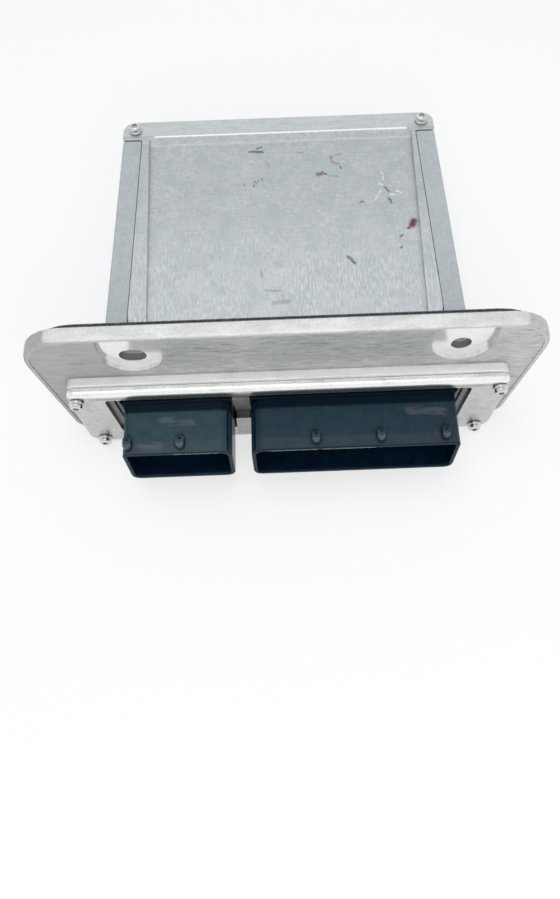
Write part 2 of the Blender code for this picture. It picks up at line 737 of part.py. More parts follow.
def make_housing():
    """The casting: flange, pad, box, ribs, bosses and everything cut in them."""
    flange = upright([flange_outline(0, FLANGE_TOP_RADIUS, FLANGE_FOOT_RADIUS)], 0, FLANGE_THICKNESS)
    round_edges(flange, on_side(1, -1), FLANGE_ROUND)
    round_edges(flange, on_side(1, 1), FLANGE_ROUND / 2, 1)

    face = flange_outline(RIM_WIDTH, FLANGE_TOP_RADIUS - RIM_WIDTH, FLANGE_FOOT_RADIUS - RIM_WIDTH)
    cut(flange, upright([face], -MERGE, RIM_STEP))

    pad_foot = FRAME_FOOT_HALF - PAD_INSET
    pad_top = FRAME_TOP_HALF - PAD_INSET
    pad_outline = trapezoid(pad_foot, pad_top, PAD_LOW, PAD_TOP, FRAME_FOOT_RADIUS, PAD_RADIUS)
    pad = upright([pad_outline], -PAD_HEIGHT, FLANGE_THICKNESS / 2)
    round_edges(pad, on_side(1, -1), PAD_ROUND)
    box = level([body_outline(FLANGE_THICKNESS / 2, 0, BODY_CORNER)], BODY_FOOT, SHOULDER_Z)
    round_edges(box, on_side(2, 1), BODY_ROUND)
    round_edges(box, on_side(2, -1), BODY_ROUND, 1)
    join(flange, pad, box)

    cavity = level([body_outline(CAVITY_FRONT, WALL, CAVITY_RADIUS)], CAVITY_LOW, CAVITY_HIGH)
    opening_back = max(CAVITY_FRONT + MERGE, COLLAR_DEPTH + FIT_GAP)
    opening = upright([opening_outline(0)], -PAD_HEIGHT - MERGE, opening_back)
    seat = upright([opening_outline(SEAT_WIDTH)], -PAD_HEIGHT - MERGE, SEAT_Y)
    cut(flange, cavity, opening, seat)

    rebate = level([lid_outline(FIT_GAP, MERGE * 2)], LEDGE_Z, SHOULDER_Z + MERGE)
    window_outline = slab_outline(-WINDOW_MARGIN, WINDOW_RADIUS, WINDOW_RADIUS)
    window = level([window_outline], CAVITY_HIGH - MERGE, SHOULDER_Z)
    groove_inner = GASKET_INSET - FIT_GAP
    groove_outer = GASKET_INSET + GASKET_WIDTH + FIT_GAP
    groove_floor = LEDGE_Z - GASKET_HEIGHT - SEAT_GAP
    groove = level([*gasket_outlines(groove_outer, groove_inner)], groove_floor, LEDGE_Z + MERGE)
    slots = boxes(tongue_spans(FIT_GAP))
    cut(flange, rebate, window, groove, slots)

    cut(flange, pocket_cutter(LEFT_POCKET_X), pocket_cutter(RIGHT_POCKET_X), *mounting_holes())

    columns = cylinders(lid_screw_spots(), COLUMN_RADIUS, CAVITY_LOW - MERGE, CAVITY_HIGH + MERGE)
    boss_top = BOARD_LOW - SEAT_GAP
    bosses = cylinders(board_screw_spots(), BOSS_RADIUS, CAVITY_LOW - MERGE, boss_top, INSIDE_SIDES)
    pedestal_top = boss_top - THERMAL_PAD - SEAT_GAP
    pedestal = boxes([(*pedestal_plan(), CAVITY_LOW - MERGE, pedestal_top)])
    join(flange, columns, bosses, pedestal, make_ribs())

    m4_hole = M4_RADIUS + SCREW_GAP
    m3_hole = M3_RADIUS + SCREW_GAP
    frame_tip = FRAME_FRONT - SEAT_GAP + FRAME_SCREW_LENGTH
    lid_tip = LID_TOP + SEAT_GAP - LID_SCREW_LENGTH
    board_tip = BOARD_TOP + SEAT_GAP - BOARD_SCREW_LENGTH
    cut(
        flange,
        cylinders(frame_screw_spots(), m4_hole, -PAD_HEIGHT - MERGE, frame_tip + MERGE, INSIDE_SIDES, "Y"),
        cylinders(lid_screw_spots(), m4_hole, lid_tip - MERGE, SHOULDER_Z + MERGE, INSIDE_SIDES),
        cylinders(board_screw_spots(), m3_hole, board_tip - SEAT_GAP, boss_top + MERGE, INSIDE_SIDES),
    )
    return finish(flange, "housing", ALUMINIUM)


def make_ribs():
    """Straight cooling ribs along the underside, with slanted ends."""
    front = RIB_START
    rear = BODY_REAR - RIB_REAR_INSET
    outline = rounded(
        [
            (front, BODY_FOOT + MERGE, 0),
            (front + RIB_SLANT, 0, 0),
            (rear - RIB_SLANT, 0, 0),
            (rear, BODY_FOOT + MERGE, 0),
        ]
    )
    shape = bmesh.new()
    each_side = int((BODY_REAR_HALF - RIB_SIDE_MARGIN) / RIB_PITCH)
    for index in range(-each_side, each_side + 1):
        x = index * RIB_PITCH
        rib = side_on([outline], x - RIB_THICKNESS / 2, x + RIB_THICKNESS / 2)
        rib.data.transform(Matrix.Translation(rib.location))
        shape.from_mesh(rib.data)
        bpy.data.objects.remove(rib)
    mesh = bpy.data.meshes.new("ribs")
    shape.to_mesh(mesh)
    shape.free()
    return place(bpy.data.objects.new("ribs", mesh))


def make_lid():
    """The lid: a slab and its rear tab, with a shallow panel whose rear wall slopes."""
    lid = level([lid_outline(0, 0)], LID_UNDERSIDE, LID_TOP)
    round_edges(lid, on_side(2, 1), LID_ROUND)
    panel = level([panel_outline()], PANEL_Z, LID_TOP + MERGE)
    slope_rear_wall(panel)
    join(lid, boxes(tongue_spans(0)))
    hole = M4_RADIUS + SCREW_GAP
    cut(lid, panel, cylinders(lid_screw_spots(), hole, LID_UNDERSIDE - MERGE, LID_TOP + MERGE))
    return finish(lid, "lid", ALUMINIUM)


def panel_outline():
    """Plan of the panel's floor, which reaches a little further to the right."""
    front = LID_FRONT + PANEL_FRONT_BORDER
    rear = BODY_REAR - PANEL_REAR_BORDER - PANEL_SLOPE_RUN
    front_half = lid_half(LID_FRONT) - PANEL_FRONT_SIDE
    rear_half = lid_half(TAB_FRONT) - PANEL_REAR_SIDE
    return rounded(
        [
            (-front_half, front, PANEL_RADIUS),
            (front_half + PANEL_RIGHT_EXTRA, front, PANEL_RADIUS),
            (rear_half + PANEL_RIGHT_EXTRA, rear, PANEL_RADIUS),
            (-rear_half, rear, PANEL_RADIUS),
        ]
    )


def slope_rear_wall(panel):
    """Leans the rear wall of the panel's cutter back, so the wall runs out at the rear border."""
    rear = BODY_REAR - PANEL_REAR_BORDER - PANEL_SLOPE_RUN - PANEL_RADIUS
    run = PANEL_SLOPE_RUN * (PANEL_DEPTH + MERGE) / PANEL_DEPTH
    for vertex in panel.data.vertices:
        if vertex.co.z > 0 and vertex.co.y > rear - MERGE / 2:
            vertex.co.y += run


def make_lid_gasket():
    gasket = level(
        [*gasket_outlines(GASKET_INSET + GASKET_WIDTH, GASKET_INSET)], LEDGE_Z - GASKET_HEIGHT, LEDGE_Z
    )
    return finish(gasket, "lid_gasket", RUBBER)


def make_flange_seal():
    """A flat rubber loop round the box, with a groove run round its edge that leaves two lips."""
    front = FLANGE_THICKNESS + SEAT_GAP
    back = front + SEAL_THICKNESS
    outer = flange_outline(SEAL_INSET, SEAL_CORNER_RADIUS, FLANGE_FOOT_RADIUS)
    inner_half = BODY_FRONT_HALF + SEAL_BODY_GAP
    inner_top = FLANGE_HEIGHT - SEAL_INSET - SEAL_WIDTH
    inner = rounded(
        [
            (-inner_half, BODY_FOOT - SEAL_BODY_GAP, 0),
            (inner_half, BODY_FOOT - SEAL_BODY_GAP, 0),
            (inner_half, inner_top, SEAL_INNER_RADIUS),
            (-inner_half, inner_top, SEAL_INNER_RADIUS),
        ]
    )
    seal = upright([outer, inner], front, back)
    middle = (front + back) / 2
    cut_out = flange_outline(-MERGE, FLANGE_TOP_RADIUS, FLANGE_FOOT_RADIUS)
    depth = SEAL_INSET + SEAL_GROOVE_DEPTH
    kept = flange_outline(depth, SEAL_CORNER_RADIUS, FLANGE_FOOT_RADIUS)
    groove = upright([cut_out, kept], middle - SEAL_GROOVE_WIDTH / 2, middle + SEAL_GROOVE_WIDTH / 2)
    cut(seal, groove)
    return finish(seal, "flange_seal", RUBBER)


def cutout_outline(inset):
    """Outline of the frame's cut-out, drawn in by inset on its sides. A tongue stands up into it."""
    rise = inset * LIP_RISE
    low = CUTOUT_LOW + rise
    high = CUTOUT_HIGH - rise
    draft = inset * TONGUE_DRAFT
    tongue_left = SMALL_RIGHT + TONGUE_GAP - draft
    tongue_right = LARGE_LEFT - TONGUE_GAP + draft
    tongue_top = CUTOUT_LOW + TONGUE_HEIGHT + draft
    return rounded(
        [
            (inset - CUTOUT_FOOT_HALF, low, CUTOUT_RADIUS),
            (tongue_left, low, 0),
            (tongue_left, tongue_top, TONGUE_RADIUS),
            (tongue_right, tongue_top, TONGUE_RADIUS),
            (tongue_right, low, 0),
            (CUTOUT_FOOT_HALF - inset, low, CUTOUT_RADIUS),
            (CUTOUT_TOP_HALF - inset, high, CUTOUT_RADIUS),
            (inset - CUTOUT_TOP_HALF, high, CUTOUT_RADIUS),
        ]
    )


def make_connector_frame():
    """The plate round the connectors: a stepped cut-out, four screw holes and a tongue."""
    plate = upright(
        [
            trapezoid(
                FRAME_FOOT_HALF, FRAME_TOP_HALF, FRAME_LOW, FRAME_TOP, FRAME_FOOT_RADIUS, FRAME_TOP_RADIUS
            )
        ],
        FRAME_FRONT,
        FRAME_BACK,
    )
    round_edges(plate, on_side(1, -1), FRAME_ROUND, 3)
    first = FRAME_FRONT + FRONT_STEP
    second = first + LIP_STEP
    steps = (
        upright([cutout_outline(0)], FRAME_FRONT - MERGE, first),
        upright([cutout_outline(FIRST_LIP)], first - MERGE, second),
        upright([cutout_outline(FIRST_LIP + SECOND_LIP)], second - MERGE, FRAME_BACK + MERGE),
    )
    cut(plate, *steps)
    hole = M4_RADIUS + SCREW_GAP
    cut(plate, cylinders(frame_screw_spots(), hole, FRAME_FRONT - MERGE, FRAME_BACK + MERGE, axis="Y"))
    return finish(plate, "connector_frame", ALUMINIUM)


def shroud_outline(left, right, inset, wide_on_right):
    """Outline of a shroud, drawn in by inset. Its top corner next to the other shroud is the roundest."""
    small = SHROUD_RADIUS - inset
    foot = SHROUD_FOOT_RADIUS - inset
    wide = SHROUD_WIDE_RADIUS - inset
    left_top, right_top = (small, wide) if wide_on_right else (wide, small)
    return rounded(
        [
            (left + inset, SHROUD_LOW + inset, foot),
            (right - inset, SHROUD_LOW + inset, foot),
            (right - inset, SHROUD_HIGH - inset, right_top),
            (left + inset, SHROUD_HIGH - inset, left_top),
        ]
    )


def nub_places():
    """X of each catch."""
    return (
        *(SMALL_LEFT + distance for distance in SMALL_NUBS_FROM_LEFT),
        *(LARGE_LEFT + distance for distance in LARGE_NUBS_FROM_LEFT),
        LARGE_RIGHT - LARGE_NUB_FROM_RIGHT,
    )


def make_nubs():
    """Catches on top of the shrouds, tall and round in front, running out to a low point behind."""
    radius = NUB_WIDTH / 2
    front = MOUTH + NUB_SETBACK
    shoulder = front + NUB_STRAIGHT
    tail = front + NUB_LENGTH - radius
    shape = bmesh.new()
    for x in nub_places():
        angles = [-math.pi * step / NUB_ARC_STEPS for step in range(NUB_ARC_STEPS + 1)]
        arc = [(x + radius * math.cos(angle), front + radius * math.sin(angle)) for angle in angles]
        outline = [*arc, (x - radius, shoulder), (x, tail), (x + radius, shoulder)]
        nub = level([outline], SHROUD_HIGH - SHROUD_WALL / 2, SHROUD_HIGH + NUB_HEIGHT)
        for vertex in nub.data.vertices:
            behind = max(0.0, vertex.co.y - shoulder) / (tail - shoulder)
            if vertex.co.z > 0:
                vertex.co.z -= NUB_HEIGHT * behind * NUB_FALL
        nub.data.transform(Matrix.Translation(nub.location))
        shape.from_mesh(nub.data)
        bpy.data.objects.remove(nub)
    crest = [
        vertex for vertex in shape.verts if vertex.co.z > SHROUD_HIGH and abs(vertex.co.y - shoulder) < WELD
    ]
    bmesh.ops.connect_verts(shape, verts=crest)
    bmesh.ops.triangulate(shape, faces=shape.faces)
    mesh = bpy.data.meshes.new("nubs")
    shape.to_mesh(mesh)
    shape.free()
    return place(bpy.data.objects.new("nubs", mesh))


def key_spans():
    """Coding ribs under each shroud's top wall, each split into short teeth."""
    spans = []
    top = SHROUD_HIGH - SHROUD_WALL
    rows = [(SMALL_RIGHT - SMALL_KEY_FROM_RIGHT, SMALL_KEY_ROW)]
    rows.extend((LARGE_LEFT + distance, length) for distance, length in LARGE_KEYS_FROM_LEFT)
    for left, length in rows:
        pitch = (length + KEY_SPLIT) / KEY_TEETH
        for index in range(KEY_TEETH):
            start = left + index * pitch
            front = MOUTH + KEY_SETBACK
            stop = start + pitch - KEY_SPLIT
            spans.append((start, stop, front, front + KEY_LENGTH, top - KEY_HEIGHT, top + SHROUD_WALL / 2))
    return spans


def make_connector_header():
    """The moulding: a sealing flange, a collar behind it, two shrouds in front and a bar at their roots."""
    flange_front = FRAME_BACK + SEAT_GAP
    flange_back = flange_front + HEADER_FLANGE
    header = upright([opening_outline(SEAT_WIDTH - FIT_GAP)], flange_front, flange_back)
    collar = upright([opening_outline(-FIT_GAP)], flange_back - MERGE, COLLAR_DEPTH)
    bar = upright(
        [rectangle(-BAR_HALF, BAR_HALF, BAR_LOW, BAR_HIGH)], FRAME_FRONT - BAR_OUT, flange_front + MERGE
    )
    round_edges(bar, on_side(1, -1), BAR_ROUND)
    join(header, collar, bar)
    for left, right, wide_on_right in ((SMALL_LEFT, SMALL_RIGHT, True), (LARGE_LEFT, LARGE_RIGHT, False)):
        shroud = upright([shroud_outline(left, right, 0, wide_on_right)], MOUTH, flange_front + MERGE)
        round_edges(shroud, on_side(1, -1), SHROUD_ROUND, 1)
        join(header, shroud)
    for left, right, wide_on_right in ((SMALL_LEFT, SMALL_RIGHT, True), (LARGE_LEFT, LARGE_RIGHT, False)):
        inside = upright(
            [shroud_outline(left, right, SHROUD_WALL, wide_on_right)], MOUTH - MERGE, COLLAR_DEPTH + MERGE
        )
        cut(header, inside)
    join(header, make_nubs(), boxes(key_spans()))
    nub_spots = [(x, MOUTH + NUB_SETBACK + NUB_HOLE_SETBACK) for x in nub_places()]
    hole_top = SHROUD_HIGH + NUB_HEIGHT + MERGE
    hole_low = SHROUD_HIGH + NUB_HEIGHT - NUB_HOLE_DEPTH
    cut(header, cylinders(nub_spots, NUB_HOLE_RADIUS, hole_low, hole_top, SMALL_HOLE_SIDES))
    return finish(header, "connector_header", BLACK_PLASTIC)


def make_header_seal():
    """A rubber loop between the header's flange and the seat in the casting."""
    front = SEAT_Y - SEAT_GAP - HEADER_SEAL
    outer = opening_outline(SEAT_WIDTH - FIT_GAP)
    inner = opening_outline(SEAT_WIDTH - FIT_GAP - HEADER_SEAL_WIDTH)
    seal = upright([outer, inner], front, front + HEADER_SEAL)
    return finish(seal, "header_seal", RUBBER)


def make_pin_block(name, left, right, wide_on_right, pitch):
    """A block that closes one shroud from behind, stands on the board and carries the contacts."""
    columns = int((right - left - PIN_SIDE_MARGIN) / pitch)
    inset = SHROUD_WALL + SEAT_GAP
    plug = upright([shroud_outline(left, right, inset, wide_on_right)], BLOCK_FRONT, COLLAR_DEPTH + MERGE)
    foot_top = SHROUD_HIGH - inset - BLOCK_TOP_DROP
    foot = boxes(
        [
            (
                left + inset + MERGE,
                right - inset - MERGE,
                COLLAR_DEPTH - MERGE,
                BLOCK_REAR,
                BOARD_TOP + SEAT_GAP,
                foot_top,
            )
        ]
    )
    join(plug, foot)
    middle_z = (SHROUD_LOW + SHROUD_HIGH) / 2
    width = (columns - 1) * pitch + BLADE_GAP
    first = (left + right - width) / 2
    tip = BLOCK_FRONT - PIN_REACH
    half = PIN_SIDE / 2
    spans = []
    for row in range(PIN_ROWS):
        z = middle_z + (row - (PIN_ROWS - 1) / 2) * PIN_ROW_PITCH
        for column in range(columns):
            x = first + column * pitch
            spans.append((x - half, x + half, tip, BLOCK_FRONT + MERGE, z - half, z + half))
    for index in range(BLADE_COUNT):
        z = middle_z + (index - (BLADE_COUNT - 1) / 2) * BLADE_PITCH
        x = first + width
        spans.append((x - BLADE_WIDTH / 2, x + BLADE_WIDTH / 2, tip, BLOCK_FRONT + MERGE, z - half, z + half))
    join(plug, boxes(spans))
    return finish(plug, name, BLACK_PLASTIC)


def turned(profile, sides):
    """A solid turned about Z, from a profile of (radius, height) that runs from the top down."""
    shape = bmesh.new()
    line = [shape.verts.new((radius, 0, height)) for radius, height in profile]
    for first, second in zip(line, line[1:]):
        shape.edges.new((first, second))
    mesh = bpy.data.meshes.new("turned")
    shape.to_mesh(mesh)
    shape.free()
    obj = place(bpy.data.objects.new("turned", mesh))
    turn = obj.modifiers.new("turn", "SCREW")
    turn.steps = sides
    turn.render_steps = sides
    turn.use_merge_vertices = True
    turn.merge_threshold = WELD
    turn.use_smooth_shade = True
    return obj


def screw_body(radius, head_radius, head_height, curve, length, sides):
    """A round-headed screw, turned about Z, with its head above Z = 0."""
    profile = [
        (0, head_height),
        *((head_radius * out, head_height * up) for out, up in curve),
        (head_radius, 0),
        (radius, 0),
        (radius, radius / 2 - length),
        (radius / 2, -length),
        (0, -length),
    ]
    return turned(profile, sides)


def drive_cutter(head_height):
    """A six-pointed star that sinks the drive into a screw's head."""
    points = []
    for index in range(2 * STAR_POINTS):
        reach = M4_DRIVE_RADIUS * (1 if index % 2 else STAR_WAIST)
        angle = math.pi * index / STAR_POINTS
        points.append((reach * math.cos(angle), reach * math.sin(angle)))
    return level([points], head_height - M4_DRIVE_DEPTH, head_height + MERGE)


def set_screw(screw, name, location, tilt, look):
    """Puts a screw in its place. tilt is its turn about X."""
    screw.location = location
    screw.rotation_euler = (tilt, 0, 0)
    return finish(screw, name, look)


def make_outside_screw(name, location, tilt, length):
    screw = screw_body(M4_RADIUS, M4_HEAD_RADIUS, M4_HEAD_HEIGHT, COLLAR_HEAD_CURVE, length, OUTSIDE_SIDES)
    drive = drive_cutter(M4_HEAD_HEIGHT)
    drive.parent = screw
    cut(screw, drive)
    return set_screw(screw, name, location, tilt, STEEL)


def make_screws():
    """Four screws through the frame, two through the lid's tab and four through the board."""
    corners = ("upper_left", "upper_right", "lower_left", "lower_right")
    for corner, (x, z) in zip(corners, frame_screw_spots()):
        place_at = (x, FRAME_FRONT - SEAT_GAP, z)
        make_outside_screw(f"frame_screw_{corner}", place_at, math.pi / 2, FRAME_SCREW_LENGTH)
    for name, (x, y) in zip(("lid_screw_left", "lid_screw_right"), lid_screw_spots()):
        make_outside_screw(name, (x, y, LID_TOP + SEAT_GAP), 0, LID_SCREW_LENGTH)
    for index, (x, y) in enumerate(board_screw_spots()):
        screw = screw_body(
            M3_RADIUS, M3_HEAD_RADIUS, M3_HEAD_HEIGHT, PLAIN_HEAD_CURVE, BOARD_SCREW_LENGTH, INSIDE_SIDES
        )
        set_screw(screw, f"board_screw_{index + 1}", (x, y, BOARD_TOP + SEAT_GAP), 0, STEEL)


def make_circuit_board():
    half = board_half()
    board = level([rectangle(-half, half, BOARD_FRONT, BOARD_REAR, MERGE)], BOARD_LOW, BOARD_TOP)
    hole = M3_RADIUS + SCREW_GAP
    cut(board, cylinders(board_screw_spots(), hole, BOARD_LOW - MERGE, BOARD_TOP + MERGE, INSIDE_SIDES))
    return finish(board, "circuit_board", BOARD_GREEN)


def make_chips():
    """The chips, each standing on the board, with bevelled top edges."""
    low = BOARD_TOP + SEAT_GAP
    for name, (x, y, width, depth, height) in CHIPS.items():
        outline = rectangle(x - width / 2, x + width / 2, y - depth / 2, y + depth / 2)
        chip = level([outline], low, low + height)
        round_edges(chip, on_side(2, 1), CHIP_ROUND, 1)
        finish(chip, name, CAN_METAL if name == "clock_crystal" else CHIP_BLACK)


def make_capacitors():
    """Three electrolytic cans, each with a crimp round its foot."""
    neck = CAPACITOR_RADIUS - CAPACITOR_CRIMP
    profile = [
        (0, CAPACITOR_HEIGHT),
        (neck, CAPACITOR_HEIGHT),
        (CAPACITOR_RADIUS, CAPACITOR_HEIGHT - CAPACITOR_CRIMP),
        (CAPACITOR_RADIUS, CRIMP_HIGH),
        (neck, CRIMP_MIDDLE),
        (CAPACITOR_RADIUS, CRIMP_LOW),
        (CAPACITOR_RADIUS, 0),
        (0, 0),
    ]
    for index, distance in enumerate(CAPACITORS_FROM_REAR):
        can = turned(profile, OUTSIDE_SIDES)
        can.location = (CAPACITOR_X, BOARD_REAR - distance, BOARD_TOP + SEAT_GAP)
        finish(can, f"capacitor_{index + 1}", CAN_METAL)


def make_choke():
    """A wound choke: a waisted drum that stands on the board."""
    profile = [
        (0, CHOKE_HEIGHT),
        (CHOKE_RADIUS, CHOKE_HEIGHT),
        (CHOKE_RADIUS, CHOKE_HEIGHT - CHOKE_FLANGE),
        (CHOKE_WAIST, CHOKE_HEIGHT - CHOKE_FLANGE),
        (CHOKE_WAIST, CHOKE_FLANGE),
        (CHOKE_RADIUS, CHOKE_FLANGE),
        (CHOKE_RADIUS, 0),
        (0, 0),
    ]
    choke = turned(profile, OUTSIDE_SIDES)
    choke.location = (CHOKE_X, BOARD_FRONT + CHOKE_FROM_FRONT, BOARD_TOP + SEAT_GAP)
    finish(choke, "choke", CHIP_BLACK)


def make_thermal_pad():
    """A soft pad that carries the drivers' heat from the board to the casting."""
    top = BOARD_LOW - SEAT_GAP
    pad = boxes([(*pedestal_plan(), top - THERMAL_PAD, top)])
    return finish(pad, "thermal_pad", PAD_GREY)


def build():
    make_housing()
    make_lid()
    make_lid_gasket()
    make_flange_seal()
    make_connector_frame()
    make_connector_header()
    make_header_seal()
    make_pin_block("pin_block_small", SMALL_LEFT, SMALL_RIGHT, True, SMALL_PIN_PITCH)
    make_pin_block("pin_block_large", LARGE_LEFT, LARGE_RIGHT, False, LARGE_PIN_PITCH)
    make_screws()
    make_circuit_board()
    make_chips()
    make_capacitors()
    make_choke()
    make_thermal_pad()


build()
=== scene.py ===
"""Engine control unit on white paper in soft studio light. Lengths are in metres.

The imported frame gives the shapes. This script rounds their edges, builds finer screws, and gives every
surface its material: cast and machined aluminium, black connectors, rubber, steel and what lies inside.
"""

import json
import math

import bmesh
import bpy
from mathutils import Matrix, Vector


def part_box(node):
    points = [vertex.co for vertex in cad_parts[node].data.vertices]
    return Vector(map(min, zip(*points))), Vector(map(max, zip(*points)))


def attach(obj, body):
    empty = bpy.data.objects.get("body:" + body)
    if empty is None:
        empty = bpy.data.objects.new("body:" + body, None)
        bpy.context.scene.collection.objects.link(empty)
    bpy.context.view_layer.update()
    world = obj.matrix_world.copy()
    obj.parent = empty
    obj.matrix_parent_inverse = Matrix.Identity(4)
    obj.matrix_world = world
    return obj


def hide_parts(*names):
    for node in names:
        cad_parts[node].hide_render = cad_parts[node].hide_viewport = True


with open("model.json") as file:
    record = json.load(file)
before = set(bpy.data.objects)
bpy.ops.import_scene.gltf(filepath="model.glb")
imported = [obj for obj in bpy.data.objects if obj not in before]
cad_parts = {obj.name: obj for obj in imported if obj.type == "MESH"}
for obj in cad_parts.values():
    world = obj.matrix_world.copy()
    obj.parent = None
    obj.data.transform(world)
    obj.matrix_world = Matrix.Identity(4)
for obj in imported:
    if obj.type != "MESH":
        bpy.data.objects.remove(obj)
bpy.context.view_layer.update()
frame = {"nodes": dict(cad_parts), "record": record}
nodes = frame["nodes"]

# The photograph's view. Lengths in the picture are in pixels and angles in degrees. The camera's axis runs a
# little right of the middle.
LONG_SIDE = 899
FOCAL_PIXELS = 820
AXIS_OFFSET = 10.5
SENSOR_MM = 36.0
CAMERA_PLACE = (0.0, -0.2706, 0.418)
CAMERA_DIP = 66.09
CAMERA_ROLL = 2.15
CLIP_NEAR = 0.01
CLIP_FAR = 20

# The world is seen at full strength by the camera and in reflections, and lights the rest less. The walls run
# out over WALL_SPAN, and the ceiling comes in over CEILING_SPAN, where 0 is the horizon and 1 straight up.
# The room is shaded between them, and the ceiling reaches further down at the rear.
WORLD_STRENGTH = 0.63
WORLD_TINT = (0.975, 0.988, 1.0)
OPEN_RAYS = ("Is Camera Ray", "Is Glossy Ray", "Is Transmission Ray")
SKY_SHADE = 0.84
WALL_SPAN = (0.2, 0.5)
CEILING_SPAN = (0.82, 1.0)
CEILING_LEAN = 0.2

# The lamps, which all point at one place: name, place, sides, watts, and whether reflections show it.
LAMP_TARGET = (0, 0, 0.03)
LAMPS = (
    ("overhead", (-0.10, 0.02, 1.30), (0.7, 0.7), 3.8, False),
    ("overhead_glint", (-0.10, 0.02, 1.28), (0.7, 0.7), 1.2, True),
    ("front_fill", (0.15, -0.95, 0.90), (1.2, 0.8), 6.0, False),
)

# The paper: half its side, how far it lies below the unit, and its glow there, which grows to 1 from
# FLOOR_NEAR to FLOOR_FAR.
FLOOR_REACH = 6.0
FLOOR_DROP = 0.0002
FLOOR_GLOW = 0.64
FLOOR_NEAR = 0.35
FLOOR_FAR = 1.6

# Edges below the smooth angle are shaded smoothly, and those above the bevel angle are rounded. Faces that
# meet below the flat angle become one. Angles are in degrees.
SMOOTH_ANGLE = 32
BEVEL_ANGLE = 35
FLAT_ANGLE = 0.5
WELD_DISTANCE = 0.000002
BEVEL_SEGMENTS = 2

# Widths of the rounded edges.
CASTING_EDGE = 0.00035
LID_EDGE = 0.0004
FRAME_EDGE = 0.00025
HEADER_EDGE = 0.00025
BOARD_SCREW_EDGE = 0.0001

# Places that the materials need, from the frame and the record that came with it.
OPENINGS = {row["name"]: row["box_m"] for row in frame["record"]["physics"]["openings"]}
MOUNTS = {row["name"]: row["pos_m"] for row in frame["record"]["mounts"]}
FRAME_TOP_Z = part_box("connector_frame")[1].z
FLANGE_BACK_Y = MOUNTS["flange_back"][1]
SPOT_FLOOR_Y = MOUNTS["left_spot_face"][1]

# The flange: the machined spot faces cut into its front, its holes, painted dark as shade, and its top edge,
# painted pale as if lit from above. The box has painted shade behind it, up to BEHIND_FLANGE_Y.
SPOT_NAMES = ("left_spot_face", "right_spot_face")
SPOT_HALF = 0.0157
SPOT_FRONT_Y = -0.0659
SPOT_TOP_Z = 0.0900
SPOT_LOW_Z = 0.0600
HOLE_NAMES = ("left_mounting_slot", "right_mounting_hole")
HOLE_MARGIN = 0.0024
FLANGE_EDGE_Z = 0.0900
BEHIND_FLANGE_Y = -0.0420

# The pad on the flange, and the connector frame that is screwed to it, with its cut-out.
PAD_BACK_Y = -0.0666
PAD_TOP_Z = 0.0560
FRAME_FACE_Y = -0.0762
CUTOUT_TOP_Z = 0.0487
CUTOUT_REACH = 0.1000

# The header: its shrouds from root to lip, the bar across their roots, and the face of the blocks behind it.
SHROUD_TOP_Z = 0.0466
SHROUD_ROOT_Y = -0.0826
SHROUD_LIP_Y = -0.1050
SHROUD_WALL = 0.0014
BAR_FRONT_Y = -0.0777
BAR_LOW_Z = 0.0405
BLOCK_FACE_Y = -0.0748

# The coding teeth in the mouths: where each row runs, their front faces, their ends and their roots.
KEY_ROWS = ((-0.0587, -0.0359), (-0.0108, 0.0135), (0.0164, 0.0423))
KEY_FACE_Y = (-0.1050, -0.1046)
KEY_LOW_Z = 0.0432
KEY_HIGH_Z = 0.0450

# The catches on top of the shrouds. The hole in each is painted dark as shade, with a short stroke.
NUB_FRONT_Y = -0.1016
NUB_HOLE_Y = -0.0990
NUB_HOLE_SHADE = tuple(
    ((x - 0.0002, NUB_HOLE_Y), (x + 0.0002, NUB_HOLE_Y), 0.0009)
    for x in (-0.0811, -0.0548, 0.0130, 0.0454, 0.0777)
)

# The lid: the foot of its panel's rear slope, where a highlight is painted, and where its rear tab begins.
SLOPE_FOOT_Y = 0.0897
TAB_Y = 0.0940

# A stroke runs out between these distances from its line, in half widths.
STROKE_SOLID = 0.4
STROKE_GONE = 1.5

# Marks on the lid's panel: start, end and half width of each stroke.
DARK_STROKES = (
    ((-0.0172, 0.0827), (-0.0142, 0.0829), 0.0008),
    ((-0.0138, 0.0825), (-0.0102, 0.0824), 0.0010),
    ((-0.0106, 0.0861), (-0.0129, 0.0851), 0.0006),
    ((0.0219, 0.0639), (0.0238, 0.0646), 0.0015),
    ((0.0240, 0.0646), (0.0264, 0.0643), 0.0007),
    ((0.0347, 0.0693), (0.0351, 0.0678), 0.0005),
    ((0.0592, 0.0528), (0.0613, 0.0497), 0.0006),
    ((0.0609, 0.0447), (0.0621, 0.0421), 0.0007),
    ((0.0444, 0.0426), (0.0462, 0.0434), 0.0005),
    ((0.0653, 0.0179), (0.0664, 0.0189), 0.0007),
    ((0.0646, 0.0102), (0.0655, 0.0111), 0.0006),
    ((0.0353, 0.0058), (0.0388, 0.0010), 0.0009),
)
FAINT_STROKES = (
    ((0.0099, 0.0812), (0.0136, 0.0807), 0.0004),
    ((-0.0079, 0.0755), (-0.0060, 0.0705), 0.0004),
    ((0.0272, 0.0632), (0.0340, 0.0617), 0.0005),
    ((0.0450, 0.0440), (0.0466, 0.0425), 0.0004),
    ((-0.0105, -0.0143), (-0.0020, -0.0150), 0.0006),
    ((-0.0055, -0.0224), (0.0020, -0.0217), 0.0013),
    ((-0.0122, -0.0015), (-0.0120, -0.0055), 0.0006),
)
GREEN_STROKES = (
    ((-0.0153, 0.0578), (-0.0153, 0.0566), 0.0005),
    ((-0.0146, 0.0606), (-0.0138, 0.0588), 0.0005),
    ((-0.0128, 0.0612), (-0.0127, 0.0605), 0.0005),
    ((-0.0103, 0.0626), (-0.0105, 0.0608), 0.0005),
    ((-0.0207, 0.0582), (-0.0205, 0.0578), 0.0006),
)
PURPLE_STROKES = (
    ((0.0297, 0.0772), (0.0300, 0.0738), 0.0010),
    ((0.0304, 0.0728), (0.0334, 0.0711), 0.0009),
    ((0.0325, 0.0782), (0.0355, 0.0788), 0.0005),
)
